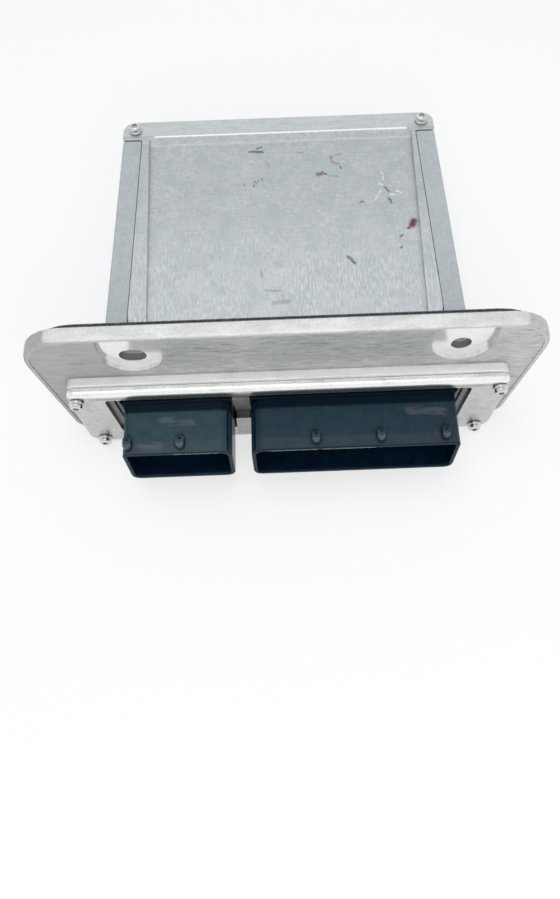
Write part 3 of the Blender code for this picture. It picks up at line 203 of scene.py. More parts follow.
PALE_STROKES = (
    ((0.0578, 0.0641), (0.0592, 0.0620), 0.0003),
    ((0.0590, 0.0608), (0.0585, 0.0589), 0.0003),
    ((0.0560, 0.0557), (0.0576, 0.0550), 0.0006),
    ((0.0569, 0.0510), (0.0527, 0.0436), 0.0003),
    ((0.0657, 0.0500), (0.0678, 0.0487), 0.0006),
    ((0.0622, 0.0475), (0.0650, 0.0473), 0.0005),
)
PAINT_STROKES = (
    ((0.0734, 0.0282), (0.0724, 0.0258), 0.0021),
    ((0.0714, 0.0247), (0.0699, 0.0236), 0.0009),
)
PAINT_CORE = (((0.0730, 0.0282), (0.0720, 0.0258), 0.0014),)

# Colour and strength of the marks on the lid, but for the paint.
LID_MARKS = (
    (DARK_STROKES, (0.10, 0.11, 0.115), 0.75),
    (FAINT_STROKES, (0.22, 0.23, 0.24), 0.45),
    (GREEN_STROKES, (0.17, 0.24, 0.21), 0.75),
    (PURPLE_STROKES, (0.30, 0.18, 0.25), 0.55),
    (PALE_STROKES, (0.95, 0.95, 0.94), 0.70),
)

# The panel's rim: strokes of painted highlight along its rounded edge.
RIM_HIGHLIGHTS = (
    ((-0.0722, 0.0941), (0.0560, 0.0941), 0.0006),
    ((0.0560, 0.0941), (0.0745, 0.0940), 0.0007),
)

# Fine scratches on the flange's face, as X and Z.
FACE_STROKES = (
    ((-0.0430, 0.0800), (-0.0330, 0.0793), 0.0004),
    ((-0.0380, 0.0770), (-0.0270, 0.0772), 0.0005),
    ((-0.0310, 0.0828), (-0.0250, 0.0822), 0.0004),
    ((-0.0230, 0.0762), (-0.0160, 0.0757), 0.0003),
    ((0.0060, 0.0810), (0.0190, 0.0806), 0.0003),
    ((0.0330, 0.0745), (0.0440, 0.0748), 0.0003),
    ((-0.1060, 0.0700), (-0.0990, 0.0695), 0.0004),
)

# Pale rubs on top of the shrouds.
RUB_STROKES = (
    ((-0.0640, -0.0874), (-0.0500, -0.0884), 0.0020),
    ((-0.0740, -0.1014), (-0.0650, -0.1020), 0.0022),
    ((0.0610, -0.0868), (0.0770, -0.0876), 0.0021),
)

# Mottled materials of what lies inside: name, two tones, size of the mottle, roughness, metallic and nodes.
INSIDE = (
    ("sealing_bead", (0.12, 0.125, 0.13), (0.24, 0.245, 0.25), 0.0012, 0.7, 0.0, ("lid_gasket",)),
    ("board_laminate", (0.015, 0.09, 0.04), (0.03, 0.15, 0.07), 0.001, 0.4, 0.0, ("circuit_board",)),
    (
        "chip_resin", (0.012, 0.012, 0.013), (0.03, 0.03, 0.032), 0.0006, 0.55, 0.0,
        (
            "microcontroller", "flash_memory", "injector_driver", "ignition_driver", "throttle_driver",
            "supply_regulator", "choke",
        ),
    ),
    (
        "can_metal", (0.50, 0.51, 0.53), (0.66, 0.67, 0.69), 0.0015, 0.35, 1.0,
        ("capacitor_1", "capacitor_2", "capacitor_3", "clock_crystal"),
    ),
    ("gap_pad", (0.36, 0.38, 0.42), (0.50, 0.52, 0.56), 0.0008, 0.8, 0.0, ("thermal_pad",)),
)

# A fine screw. Its head's profile runs from the seat to the flat round the star, in shares of radius and
# height. Each screw is turned further than the one before, by SCREW_TURN in radians.
HEAD_HEIGHT = 0.0038
HEAD_SEGMENTS = 72
SHANK_RADIUS = 0.0020
TIP_CHAMFER = 0.0003
STAR_POINTS = 6
STAR_RADIUS = 0.0016
STAR_DEPTH = 0.0009
STAR_WAIST = 0.80
STAR_RIM_WIDTH = 0.0001
STAR_RIM_DEPTH = 0.00012
SCREW_TURN = 0.4
HEAD_PROFILE = (
    (0.95, 0.00), (0.99, 0.02), (1.00, 0.07), (1.00, 0.24), (0.985, 0.29), (0.94, 0.32),
    (0.88, 0.335), (0.862, 0.37), (0.86, 0.44), (0.86, 0.60), (0.845, 0.70), (0.80, 0.80),
    (0.73, 0.88), (0.64, 0.945), (0.55, 0.985), (0.47, 1.00),
)


class Graph:
    """A node tree under construction. Its methods take and return node sockets or plain numbers."""

    def __init__(self, tree):
        self.tree = tree

    def node(self, kind, **settings):
        made = self.tree.nodes.new(kind)
        for name, value in settings.items():
            setattr(made, name, value)
        return made

    def feed(self, socket, value):
        """Links a socket to the value, or writes a plain value into it."""
        if isinstance(value, bpy.types.NodeSocket):
            self.tree.links.new(value, socket)
        elif isinstance(value, tuple) and len(value) == 3 and socket.type == "RGBA":
            socket.default_value = (*value, 1)
        else:
            socket.default_value = value

    def math(self, operation, first, second, clamp=False):
        made = self.node("ShaderNodeMath", operation=operation, use_clamp=clamp)
        for socket, value in zip(made.inputs, (first, second)):
            self.feed(socket, value)
        return made.outputs[0]

    def vector(self, operation, first, second=None, result="Vector"):
        """Arithmetic on vectors. Its result is named Value where it is a number."""
        made = self.node("ShaderNodeVectorMath", operation=operation)
        self.feed(made.inputs[0], first)
        if second is not None:
            self.feed(made.inputs["Scale" if operation == "SCALE" else 1], second)
        return made.outputs[result]

    def mix(self, factor, first, second):
        """The first colour at 0, the second at 1."""
        made = self.node("ShaderNodeMix", data_type="RGBA")
        self.feed(made.inputs["Factor"], factor)
        self.feed(made.inputs["A"], first)
        self.feed(made.inputs["B"], second)
        return made.outputs["Result"]

    def band(self, value, low, high, start=0.0, stop=1.0):
        """Runs smoothly from start at low to stop at high."""
        made = self.node("ShaderNodeMapRange", interpolation_type="SMOOTHSTEP")
        for name, number in (("From Min", low), ("From Max", high), ("To Min", start), ("To Max", stop)):
            self.feed(made.inputs[name], number)
        self.feed(made.inputs["Value"], value)
        return made.outputs["Result"]

    def both(self, *masks):
        """The product of the masks, which may be plain shares too."""
        total = masks[0]
        for mask in masks[1:]:
            total = self.math("MULTIPLY", total, mask)
        return total

    def either(self, *masks):
        """The highest of the masks."""
        total = masks[0]
        for mask in masks[1:]:
            total = self.math("MAXIMUM", total, mask)
        return total

    def outside(self, mask):
        return self.math("SUBTRACT", 1.0, mask)

    def open_view(self):
        """1 for rays from the camera or from a gloss or glass surface, 0 for the rest."""
        path = self.node("ShaderNodeLightPath")
        return self.either(*(path.outputs[name] for name in OPEN_RAYS))


class Recipe(Graph):
    """A material under construction, with the coordinates of the frame at hand."""

    def __init__(self, name, roughness=0.5, metallic=0.0):
        self.material = bpy.data.materials.new(name)
        self.material.use_nodes = True
        super().__init__(self.material.node_tree)
        self.shader = self.tree.nodes["Principled BSDF"]
        self.set("Metallic", metallic)
        self.set("Roughness", roughness)
        self.place = self.node("ShaderNodeTexCoord").outputs["Object"]
        split = self.node("ShaderNodeSeparateXYZ")
        self.feed(split.inputs[0], self.place)
        self.x, self.y, self.z = split.outputs

    def set(self, name, value):
        self.feed(self.shader.inputs[name], value)

    def over(self, base, colour, *masks):
        """The base with a colour laid over it, as far as all the masks reach."""
        return self.mix(self.both(*masks), base, colour)

    def noise(self, size, detail, rough, stretch=(1, 1, 1), shift=0.0):
        """Noise with features of about that size, drawn out along the axes by stretch and moved by shift."""
        mapping = self.node("ShaderNodeMapping")
        self.feed(mapping.inputs["Vector"], self.place)
        mapping.inputs["Scale"].default_value = [1 / (size * part) for part in stretch]
        mapping.inputs["Location"].default_value = (shift, shift * 2, shift * 3)
        made = self.node("ShaderNodeTexNoise")
        self.feed(made.inputs["Vector"], mapping.outputs[0])
        self.feed(made.inputs["Scale"], 1.0)
        self.feed(made.inputs["Detail"], detail)
        self.feed(made.inputs["Roughness"], rough)
        return made.outputs["Fac"]

    def within(self, value, low, high, soft=0.0001):
        """1 between low and high, running out over a soft width at both ends."""
        above = self.band(value, low - soft, low + soft)
        return self.both(above, self.band(value, high - soft, high + soft, 1.0, 0.0))

    def window(self, low_x, high_x, low_z, high_z):
        """1 inside an upright rectangle seen from the front."""
        return self.both(self.within(self.x, low_x, high_x), self.within(self.z, low_z, high_z))

    def upright(self):
        """The place with Z in the room of Y, for strokes on an upright face."""
        made = self.node("ShaderNodeCombineXYZ")
        self.feed(made.inputs["X"], self.x)
        self.feed(made.inputs["Y"], self.z)
        return made.outputs[0]

    def creases(self, distance):
        """Near 1 in corners and gaps, 0 in the open."""
        made = self.node("ShaderNodeAmbientOcclusion", samples=8, only_local=False)
        self.feed(made.inputs["Distance"], distance)
        return self.band(made.outputs["AO"], 0.45, 0.95, 1.0, 0.0)

    def edges(self, radius):
        """Near 1 along outer edges, which are painted pale for wear and for highlight."""
        soft = self.node("ShaderNodeBevel", samples=4)
        self.feed(soft.inputs["Radius"], radius)
        flat = self.node("ShaderNodeNewGeometry")
        match = self.vector("DOT_PRODUCT", soft.outputs[0], flat.outputs["Normal"], "Value")
        return self.band(match, 0.80, 0.995, 1.0, 0.0)

    def wobble(self, size):
        """Uneven values on both sides of 0, to break up the edges of strokes."""
        return self.band(self.noise(size, 4, 0.75, shift=9.0), 0.2, 0.8, -0.9, 0.9)

    def strokes(self, rows, wobble, place=None):
        """Mask of a few strokes seen from above, or in place's own plane, with edges broken up by wobble."""
        masks = []
        for start, end, half_width in rows:
            made = self.node("ShaderNodeGroup", node_tree=STROKE)
            self.feed(made.inputs["Place"], place or self.place)
            made.inputs["Start"].default_value = (*start, 0)
            made.inputs["End"].default_value = (*end, 0)
            made.inputs["Half width"].default_value = half_width
            self.feed(made.inputs["Wobble"], wobble)
            masks.append(made.outputs[0])
        return self.either(*masks)

    def bump(self, height, distance, strength):
        made = self.node("ShaderNodeBump")
        self.feed(made.inputs["Height"], height)
        self.feed(made.inputs["Distance"], distance)
        self.feed(made.inputs["Strength"], strength)
        self.set("Normal", made.outputs[0])


def stroke_group():
    """Node group: 1 near a line seen from above, running out at its edge."""
    group = bpy.data.node_groups.new("stroke", "ShaderNodeTree")
    for name in ("Place", "Start", "End"):
        group.interface.new_socket(name, in_out="INPUT", socket_type="NodeSocketVector")
    for name in ("Half width", "Wobble"):
        group.interface.new_socket(name, in_out="INPUT", socket_type="NodeSocketFloat")
    group.interface.new_socket("Mask", in_out="OUTPUT", socket_type="NodeSocketFloat")
    graph = Graph(group)
    source = graph.node("NodeGroupInput").outputs
    seen = graph.vector("MULTIPLY", source["Place"], (1, 1, 0))
    along = graph.vector("SUBTRACT", source["End"], source["Start"])
    out = graph.vector("SUBTRACT", seen, source["Start"])
    reach = graph.vector("DOT_PRODUCT", out, along, "Value")
    share = graph.math("DIVIDE", reach, graph.vector("DOT_PRODUCT", along, along, "Value"), clamp=True)
    aside = graph.vector("SUBTRACT", out, graph.vector("SCALE", along, share))
    ratio = graph.math("DIVIDE", graph.vector("LENGTH", aside, result="Value"), source["Half width"])
    mask = graph.band(graph.math("ADD", ratio, source["Wobble"]), STROKE_SOLID, STROKE_GONE, 1.0, 0.0)
    graph.feed(graph.node("NodeGroupOutput").inputs[0], mask)
    return group


def smooth_group():
    """Node group that keeps edges sharp above an angle and shades the rest smoothly."""
    group = bpy.data.node_groups.new("smooth_by_angle", "GeometryNodeTree")
    for side in ("INPUT", "OUTPUT"):
        group.interface.new_socket("Geometry", in_out=side, socket_type="NodeSocketGeometry")
    graph = Graph(group)
    angle = graph.node("GeometryNodeInputMeshEdgeAngle")
    compare = graph.node("FunctionNodeCompare", operation="LESS_EQUAL")
    graph.feed(compare.inputs["A"], angle.outputs["Unsigned Angle"])
    graph.feed(compare.inputs["B"], math.radians(SMOOTH_ANGLE))
    faces = graph.node("GeometryNodeSetShadeSmooth")
    graph.feed(faces.inputs["Geometry"], graph.node("NodeGroupInput").outputs[0])
    edges = graph.node("GeometryNodeSetShadeSmooth", domain="EDGE")
    graph.feed(edges.inputs["Geometry"], faces.outputs[0])
    graph.feed(edges.inputs["Shade Smooth"], compare.outputs["Result"])
    graph.feed(graph.node("NodeGroupOutput").inputs[0], edges.outputs[0])
    return group


STROKE = stroke_group()
SMOOTH = smooth_group()


def cast_skin(recipe, colour, dark, roughness, crease_shade):
    """The look all the castings share: mottled tone, fine grain, painted shade in corners, and edges painted
    pale as wear and highlight.
    """
    blotch = recipe.band(recipe.noise(0.011, 5, 0.62), 0.32, 0.68)
    grain = recipe.noise(0.0013, 4, 0.7)
    fine = recipe.noise(0.00045, 2, 0.6, shift=3.0)
    tone = recipe.math("ADD", recipe.both(recipe.band(grain, 0.30, 0.70), 0.55), recipe.both(blotch, 0.45))
    base = recipe.mix(tone, dark, colour)
    # Painted shade: darker in corners and creases, found by ambient occlusion and scaled by crease_shade.
    base = recipe.over(base, (0.14, 0.14, 0.135), recipe.creases(0.003), crease_shade)
    # Edges painted pale: rubbed metal, and painted highlight on the roundings.
    base = recipe.over(base, (0.90, 0.91, 0.91), recipe.edges(0.0005), 0.6)
    rough = recipe.math("ADD", roughness, recipe.both(recipe.band(fine, 0.3, 0.7), 0.12))
    height = recipe.math("ADD", grain, recipe.both(fine, 0.5))
    return base, rough, height


def worn_flange(recipe, base):
    """The base with the wear of the flange's face: drawn out along X, darker at the left and scratched."""
    drawn = recipe.band(recipe.noise(0.0010, 4, 0.7, stretch=(6, 1, 1), shift=8.0), 0.36, 0.58)
    smear = recipe.band(recipe.noise(0.0022, 5, 0.75, stretch=(5, 1, 1), shift=15.0), 0.38, 0.62)
    left = recipe.band(recipe.x, -0.062, -0.092)
    scratch = recipe.strokes(FACE_STROKES, recipe.wobble(0.0012), recipe.upright())
    forward = recipe.band(recipe.y, SPOT_FRONT_Y, SPOT_FRONT_Y - 0.0003)
    base = recipe.over(base, (0.31, 0.32, 0.32), recipe.outside(drawn), 0.60)
    base = recipe.over(base, (0.70, 0.71, 0.70), smear, 0.45)
    base = recipe.over(base, (0.33, 0.335, 0.34), left, 0.55)
    return recipe.over(base, (0.16, 0.16, 0.16), scratch, forward, 0.5)


def cool_box(recipe, base, body, speck):
    """The base with the tone of the box, which is cooler, and dark in the shade of the flange."""
    stain = recipe.band(recipe.noise(0.0040, 5, 0.70, stretch=(1, 1.6, 1), shift=6.0), 0.30, 0.70, 0.35, 1.0)
    cool = recipe.mix(recipe.both(speck, stain), (0.41, 0.46, 0.48), (0.535, 0.58, 0.60))
    behind = recipe.band(recipe.y, BEHIND_FLANGE_Y, BEHIND_FLANGE_Y - 0.004)
    base = recipe.over(base, cool, body, 0.88)
    return recipe.over(base, (0.10, 0.10, 0.10), body, behind, 0.6)


def hole_shade_mask(recipe):
    """1 on the walls of the two mounting holes, which are painted dark as shade."""
    holes = []
    for name in HOLE_NAMES:
        low, high = OPENINGS[name]
        sides = (low[0] - HOLE_MARGIN, high[0] + HOLE_MARGIN)
        holes.append(recipe.window(*sides, low[2] - HOLE_MARGIN, high[2] + HOLE_MARGIN))
    depth = recipe.within(recipe.y, SPOT_FLOOR_Y + 0.0004, FLANGE_BACK_Y - 0.0002)
    return recipe.both(recipe.either(*holes), depth)


def spot_masks(recipe):
    """1 on the spot faces, and 1 only on the walls that stand round them."""
    across = []
    for name in SPOT_NAMES:
        middle = MOUNTS[name][0]
        across.append(recipe.within(recipe.x, middle - SPOT_HALF, middle + SPOT_HALF))
    spot = recipe.both(
        recipe.either(*across),
        recipe.within(recipe.y, SPOT_FRONT_Y, SPOT_FLOOR_Y + 0.0002),
        recipe.within(recipe.z, SPOT_LOW_Z, SPOT_TOP_Z),
    )
    wall = recipe.both(spot, recipe.band(recipe.y, SPOT_FLOOR_Y - 0.0003, SPOT_FLOOR_Y - 0.0002, 1.0, 0.0))
    return spot, wall


def make_casting():
    """Housing and flange, with spot faces that are bare and machined."""
    recipe = Recipe("cast_aluminium")
    # Painted light: the pad's top is pale, as if lit from above.
    lit_pad = recipe.both(
        recipe.band(recipe.y, PAD_BACK_Y - 0.0004, PAD_BACK_Y, 1.0, 0.0),
        recipe.band(recipe.z, PAD_TOP_Z - 0.0030, PAD_TOP_Z - 0.0020),
    )
    # Painted crease shade at 0.4, and none on the pad's top, so that no dark seam shows there.
    crease_shade = recipe.band(lit_pad, 0.0, 1.0, 0.4, 0.0)
    base, rough, height = cast_skin(recipe, (0.59, 0.60, 0.59), (0.42, 0.43, 0.43), 0.44, crease_shade)
    base = worn_flange(recipe, base)

    speck = recipe.band(recipe.noise(0.0012, 4, 0.7, shift=4.0), 0.30, 0.62)
    body = recipe.band(recipe.y, FLANGE_BACK_Y, FLANGE_BACK_Y + 0.001)
    base = cool_box(recipe, base, body, speck)

    # Painted shade: the casting behind the frame's cut-out is dark.
    recess_shade = recipe.both(
        recipe.band(recipe.y, PAD_BACK_Y, PAD_BACK_Y - 0.0010),
        recipe.band(recipe.z, CUTOUT_TOP_Z + 0.0006, CUTOUT_TOP_Z),
    )
    # Painted light: the flange's top edge is pale, as if lit from above.
    top = recipe.both(recipe.outside(body), recipe.band(recipe.z, FLANGE_EDGE_Z, FLANGE_EDGE_Z + 0.0008))
    bloom = recipe.band(recipe.noise(0.0050, 5, 0.65, stretch=(3, 1, 1), shift=17.0), 0.34, 0.66)
    pale = recipe.math("ADD", recipe.both(speck, 0.45), recipe.both(bloom, 0.55))
    base = recipe.over(base, (0.10, 0.10, 0.105), recess_shade, 0.7)
    base = recipe.over(base, recipe.mix(pale, (0.57, 0.58, 0.575), (0.81, 0.815, 0.81)), top, 0.9)
    # Painted light on the pad's top, mottled.
    base = recipe.over(base, recipe.mix(pale, (0.80, 0.80, 0.77), (0.97, 0.97, 0.94)), lit_pad, 0.9)
    # Painted shade: the walls of the mounting holes are dark.
    base = recipe.over(base, (0.13, 0.13, 0.13), hole_shade_mask(recipe), 0.9)

    spot, wall = spot_masks(recipe)
    swirl = recipe.band(recipe.noise(0.0007, 3, 0.6, stretch=(5, 5, 1), shift=1.0), 0.3, 0.7)
    sweep = recipe.band(recipe.noise(0.0055, 1, 0.5, stretch=(1, 9, 9), shift=21.0), 0.42, 0.60)
    bare = recipe.mix(swirl, (0.83, 0.83, 0.81), (0.94, 0.94, 0.92))
    bare = recipe.over(bare, (0.52, 0.52, 0.50), wall, sweep, 0.35)
    machined = recipe.both(spot, recipe.band(wall, 0.0, 1.0, 0.15, 0.09))
    recipe.set("Base Color", recipe.over(base, bare, spot))
    recipe.set("Metallic", recipe.band(wall, 0.0, 1.0, 0.45, 1.0))
    recipe.set("Roughness", recipe.math("ADD", recipe.both(rough, recipe.outside(spot)), machined))
    recipe.bump(recipe.both(height, recipe.outside(recipe.both(spot, 0.85))), 0.00012, 0.45)
    return recipe.material


def lid_weave(recipe, base, speck):
    """The base with the lid's fine texture: specks, and short scratches that run along both axes."""
    weave = recipe.band(recipe.noise(0.0011, 4, 0.7, stretch=(4, 1, 1), shift=14.0), 0.40, 0.60)
    worn = recipe.band(recipe.noise(0.0070, 6, 0.72, shift=19.0), 0.36, 0.64)
    warp = recipe.band(recipe.noise(0.0019, 3, 0.6, stretch=(1, 3, 1), shift=31.0), 0.42, 0.58)
    weft = recipe.band(recipe.noise(0.0019, 3, 0.6, stretch=(3, 1, 1), shift=33.0), 0.42, 0.58)
    base = recipe.over(base, (0.39, 0.42, 0.435), speck, 0.58)
    base = recipe.over(base, (0.65, 0.68, 0.69), weave, 0.46)
    base = recipe.over(base, (0.43, 0.46, 0.475), worn, 0.42)
    return recipe.over(base, (0.70, 0.73, 0.74), warp, weft, 0.34)


def lid_tints(recipe, base, front, streak):
    """The base with the lid's wide changes of tone: stains, streaks towards the flange, and a painted sheen
    there.
    """
    front_sheen = recipe.band(recipe.y, 0.050, -0.020)
    green = recipe.band(recipe.noise(0.013, 4, 0.6, shift=7.0), 0.46, 0.64)
    lilac = recipe.band(recipe.noise(0.012, 4, 0.6, shift=11.0), 0.50, 0.66)
    # Painted sheen: the lid is paler towards the flange.
    base = recipe.over(base, (0.71, 0.74, 0.75), front_sheen, 0.42)
    base = recipe.over(base, (0.44, 0.53, 0.505), green, 0.45)
    base = recipe.over(base, (0.555, 0.54, 0.60), lilac, 0.40)
    base = recipe.over(base, (0.80, 0.83, 0.85), front, streak, 0.55)
    return recipe.over(base, (0.40, 0.43, 0.44), front, recipe.outside(streak), 0.35)


def lid_marks(recipe, base):
    """The base with the lid's marks and its spot of paint, and the mask of the paint."""
    wobble = recipe.wobble(0.0010)
    for rows, colour, strength in LID_MARKS:
        base = recipe.over(base, colour, recipe.strokes(rows, wobble), strength)
    little = recipe.both(wobble, 0.35)
    paint = recipe.strokes(PAINT_STROKES, little)
    dried = recipe.mix(recipe.strokes(PAINT_CORE, little), (0.23, 0.070, 0.080), (0.105, 0.036, 0.046))
    return recipe.over(base, dried, paint), paint


def make_lid_metal():
    """Lid: satin, finely brushed towards the flange, with stains, scratches, a spot of paint and painted
    highlights.
    """
    recipe = Recipe("lid_aluminium")
    base, rough, height = cast_skin(recipe, (0.62, 0.65, 0.664), (0.50, 0.53, 0.546), 0.32, 0.25)
    speck = recipe.band(recipe.noise(0.0010, 4, 0.7, shift=4.0), 0.36, 0.64)
    streak = recipe.band(recipe.noise(0.0009, 5, 0.7, stretch=(1, 6, 1), shift=5.0), 0.40, 0.64)
    patchy = recipe.band(recipe.noise(0.022, 4, 0.6, shift=12.0), 0.36, 0.60, 0.25, 1.0)
    front = recipe.both(recipe.band(recipe.y, 0.060, -0.020), patchy)
    base = lid_weave(recipe, base, speck)
    base = lid_tints(recipe, base, front, streak)

    foot_highlight = recipe.within(recipe.y, SLOPE_FOOT_Y - 0.0006, SLOPE_FOOT_Y + 0.0006, 0.0006)
    rim_highlight = recipe.strokes(RIM_HIGHLIGHTS, recipe.both(speck, 0.3))
    tab = recipe.band(recipe.y, TAB_Y + 0.0006, TAB_Y + 0.0014)
    haze = recipe.band(recipe.noise(0.0024, 6, 0.75, stretch=(4, 1, 1), shift=2.0), 0.30, 0.64, 0.25, 1.0)
    # Painted highlight along the foot of the rear slope.
    base = recipe.over(base, (0.74, 0.77, 0.78), foot_highlight, 0.5)
    # Painted highlight on the panel's rim.
    base = recipe.over(base, (0.985, 0.99, 0.99), rim_highlight)
    base = recipe.over(base, (0.74, 0.77, 0.77), tab, haze, 0.62)

    base, paint = lid_marks(recipe, base)
    recipe.set("Base Color", base)
    recipe.set("Roughness", recipe.math("ADD", rough, recipe.both(front, streak, 0.05)))
    recipe.set("Metallic", recipe.band(paint, 0.0, 1.0, 0.9, 0.0))
    recipe.bump(recipe.math("ADD", height, recipe.both(front, streak, 0.7)), 0.00008, 0.45)
    return recipe.material


def make_frame_metal():
    """Connector frame: the same casting, with painted highlights on top and painted shade and reflection at
    the cut-out.
    """
    recipe = Recipe("frame_aluminium", metallic=0.85)
    base, rough, height = cast_skin(recipe, (0.63, 0.645, 0.625), (0.49, 0.505, 0.49), 0.24, 0.15)
    highlight_patch = recipe.band(recipe.noise(0.009, 5, 0.7, stretch=(3, 1, 1), shift=3.0), 0.30, 0.50)
    stain = recipe.band(recipe.noise(0.0045, 5, 0.7, stretch=(1.5, 1, 1), shift=23.0), 0.48, 0.68)
    top = recipe.band(recipe.z, FRAME_TOP_Z - 0.0032, FRAME_TOP_Z - 0.0012)
    cutout_shade = recipe.both(
        recipe.band(recipe.y, FRAME_FACE_Y + 0.0003, FRAME_FACE_Y + 0.0014),
        recipe.band(recipe.z, CUTOUT_TOP_Z + 0.0006, CUTOUT_TOP_Z),
        recipe.within(recipe.x, -CUTOUT_REACH, CUTOUT_REACH, 0.0005),
    )
    dark_reflection = recipe.both(
        recipe.within(recipe.z, CUTOUT_TOP_Z + 0.0008, CUTOUT_TOP_Z + 0.0026, 0.0005),
        recipe.within(recipe.x, -CUTOUT_REACH, CUTOUT_REACH, 0.004),
    )
    low, high = OPENINGS["shroud_gap"]
    gap = recipe.within(recipe.x, low[0], high[0], 0.0008)
    base = recipe.over(base, (0.40, 0.40, 0.36), stain, recipe.outside(top), 0.5)
    # Painted reflection: a dark band on the face just above the cut-out.
    base = recipe.over(base, (0.20, 0.21, 0.21), dark_reflection, 0.5)
    # Painted shade: the walls of the cut-out are near black, but not between the shrouds.
    base = recipe.over(base, (0.07, 0.07, 0.075), cutout_shade, recipe.outside(gap), 0.8)
    base = recipe.over(base, (0.28, 0.27, 0.26), gap, recipe.outside(top), 0.5)
    # Painted highlight: the rounded top is pale, and white in patches.
    base = recipe.over(base, (0.74, 0.745, 0.73), top, 0.75)
    recipe.set("Base Color", recipe.over(base, (0.975, 0.98, 0.965), top, highlight_patch))
    recipe.set("Roughness", rough)
    recipe.bump(height, 0.0001, 0.08)
    return recipe.material


def mouth_mask(recipe):
    """1 on the inner faces of the two shrouds."""
    mouths = []
    for name in ("small_connector_mouth", "large_connector_mouth"):
        low, high = OPENINGS[name]
        sides = (low[0] - SHROUD_WALL, high[0] + SHROUD_WALL)
        mouths.append(recipe.window(*sides, low[2] - 0.0018, high[2] + 0.0028))
    depth = recipe.band(recipe.y, SHROUD_LIP_Y - 0.0002, SHROUD_LIP_Y + 0.0008)
    return recipe.both(recipe.either(*mouths), depth)


def bar_dust_and_sheen(recipe, base, cloud):
    """The base with the bar between the shrouds pale with dust and painted reflection, painted light low down,
    and its mask.
    """
    low, high = OPENINGS["shroud_gap"]
    bar = recipe.both(
        recipe.within(recipe.x, low[0], high[0], 0.0003),
        recipe.band(recipe.y, BAR_FRONT_Y - 0.0006, BAR_FRONT_Y - 0.0002),
    )
    # Painted light: the sunk lower part of the bar is paler.
    sunk_light = recipe.band(recipe.z, BAR_LOW_Z + 0.0010, BAR_LOW_Z - 0.0005)
    dust = recipe.mix(cloud, (0.15, 0.14, 0.135), (0.25, 0.235, 0.225))
    dust = recipe.mix(sunk_light, dust, recipe.mix(cloud, (0.36, 0.34, 0.33), (0.50, 0.48, 0.46)))
    return recipe.over(base, dust, bar, 0.85), bar


def marked_tops(recipe, base):
    """The base with painted highlights on the catches' fronts, painted shade in their holes, and rubs on the
    shrouds.
    """
    nub = recipe.band(recipe.z, SHROUD_TOP_Z + 0.0008, SHROUD_TOP_Z + 0.0012)
    snout_highlight = recipe.band(recipe.y, NUB_FRONT_Y + 0.0004, NUB_FRONT_Y)
    broken = recipe.band(recipe.noise(0.0016, 3, 0.6, stretch=(7, 1, 1), shift=2.0), 0.3, 0.7, -0.5, 0.9)
    top = recipe.band(recipe.z, SHROUD_TOP_Z - 0.0002, SHROUD_TOP_Z + 0.0002)
    # Painted highlight on the catches' fronts.
    base = recipe.over(base, (0.12, 0.145, 0.17), nub, snout_highlight, 0.45)
    # Painted shade in the catches' holes.
    base = recipe.over(base, (0.001, 0.002, 0.004), nub, recipe.strokes(NUB_HOLE_SHADE, 0.0), 0.9)
    return recipe.over(base, (0.26, 0.24, 0.26), top, recipe.strokes(RUB_STROKES, broken), 0.16)


def key_highlights(recipe, mouth):
    """Painted highlight lines along the coding teeth: at their roots on the rim of the mouths, and at their
    ends.
    """
    roots = recipe.both(recipe.within(recipe.z, KEY_HIGH_Z - 0.0002, KEY_HIGH_Z + 0.0004), mouth)
    faces = recipe.within(recipe.y, *KEY_FACE_Y)
    ends = recipe.both(recipe.within(recipe.z, KEY_LOW_Z, KEY_LOW_Z + 0.0003), faces)
    rows = recipe.either(*(recipe.within(recipe.x, start, stop) for start, stop in KEY_ROWS))
    highlight_breakup = recipe.band(recipe.noise(0.0016, 4, 0.7, shift=27.0), 0.36, 0.50)
    return recipe.both(recipe.either(roots, ends), rows, highlight_breakup)


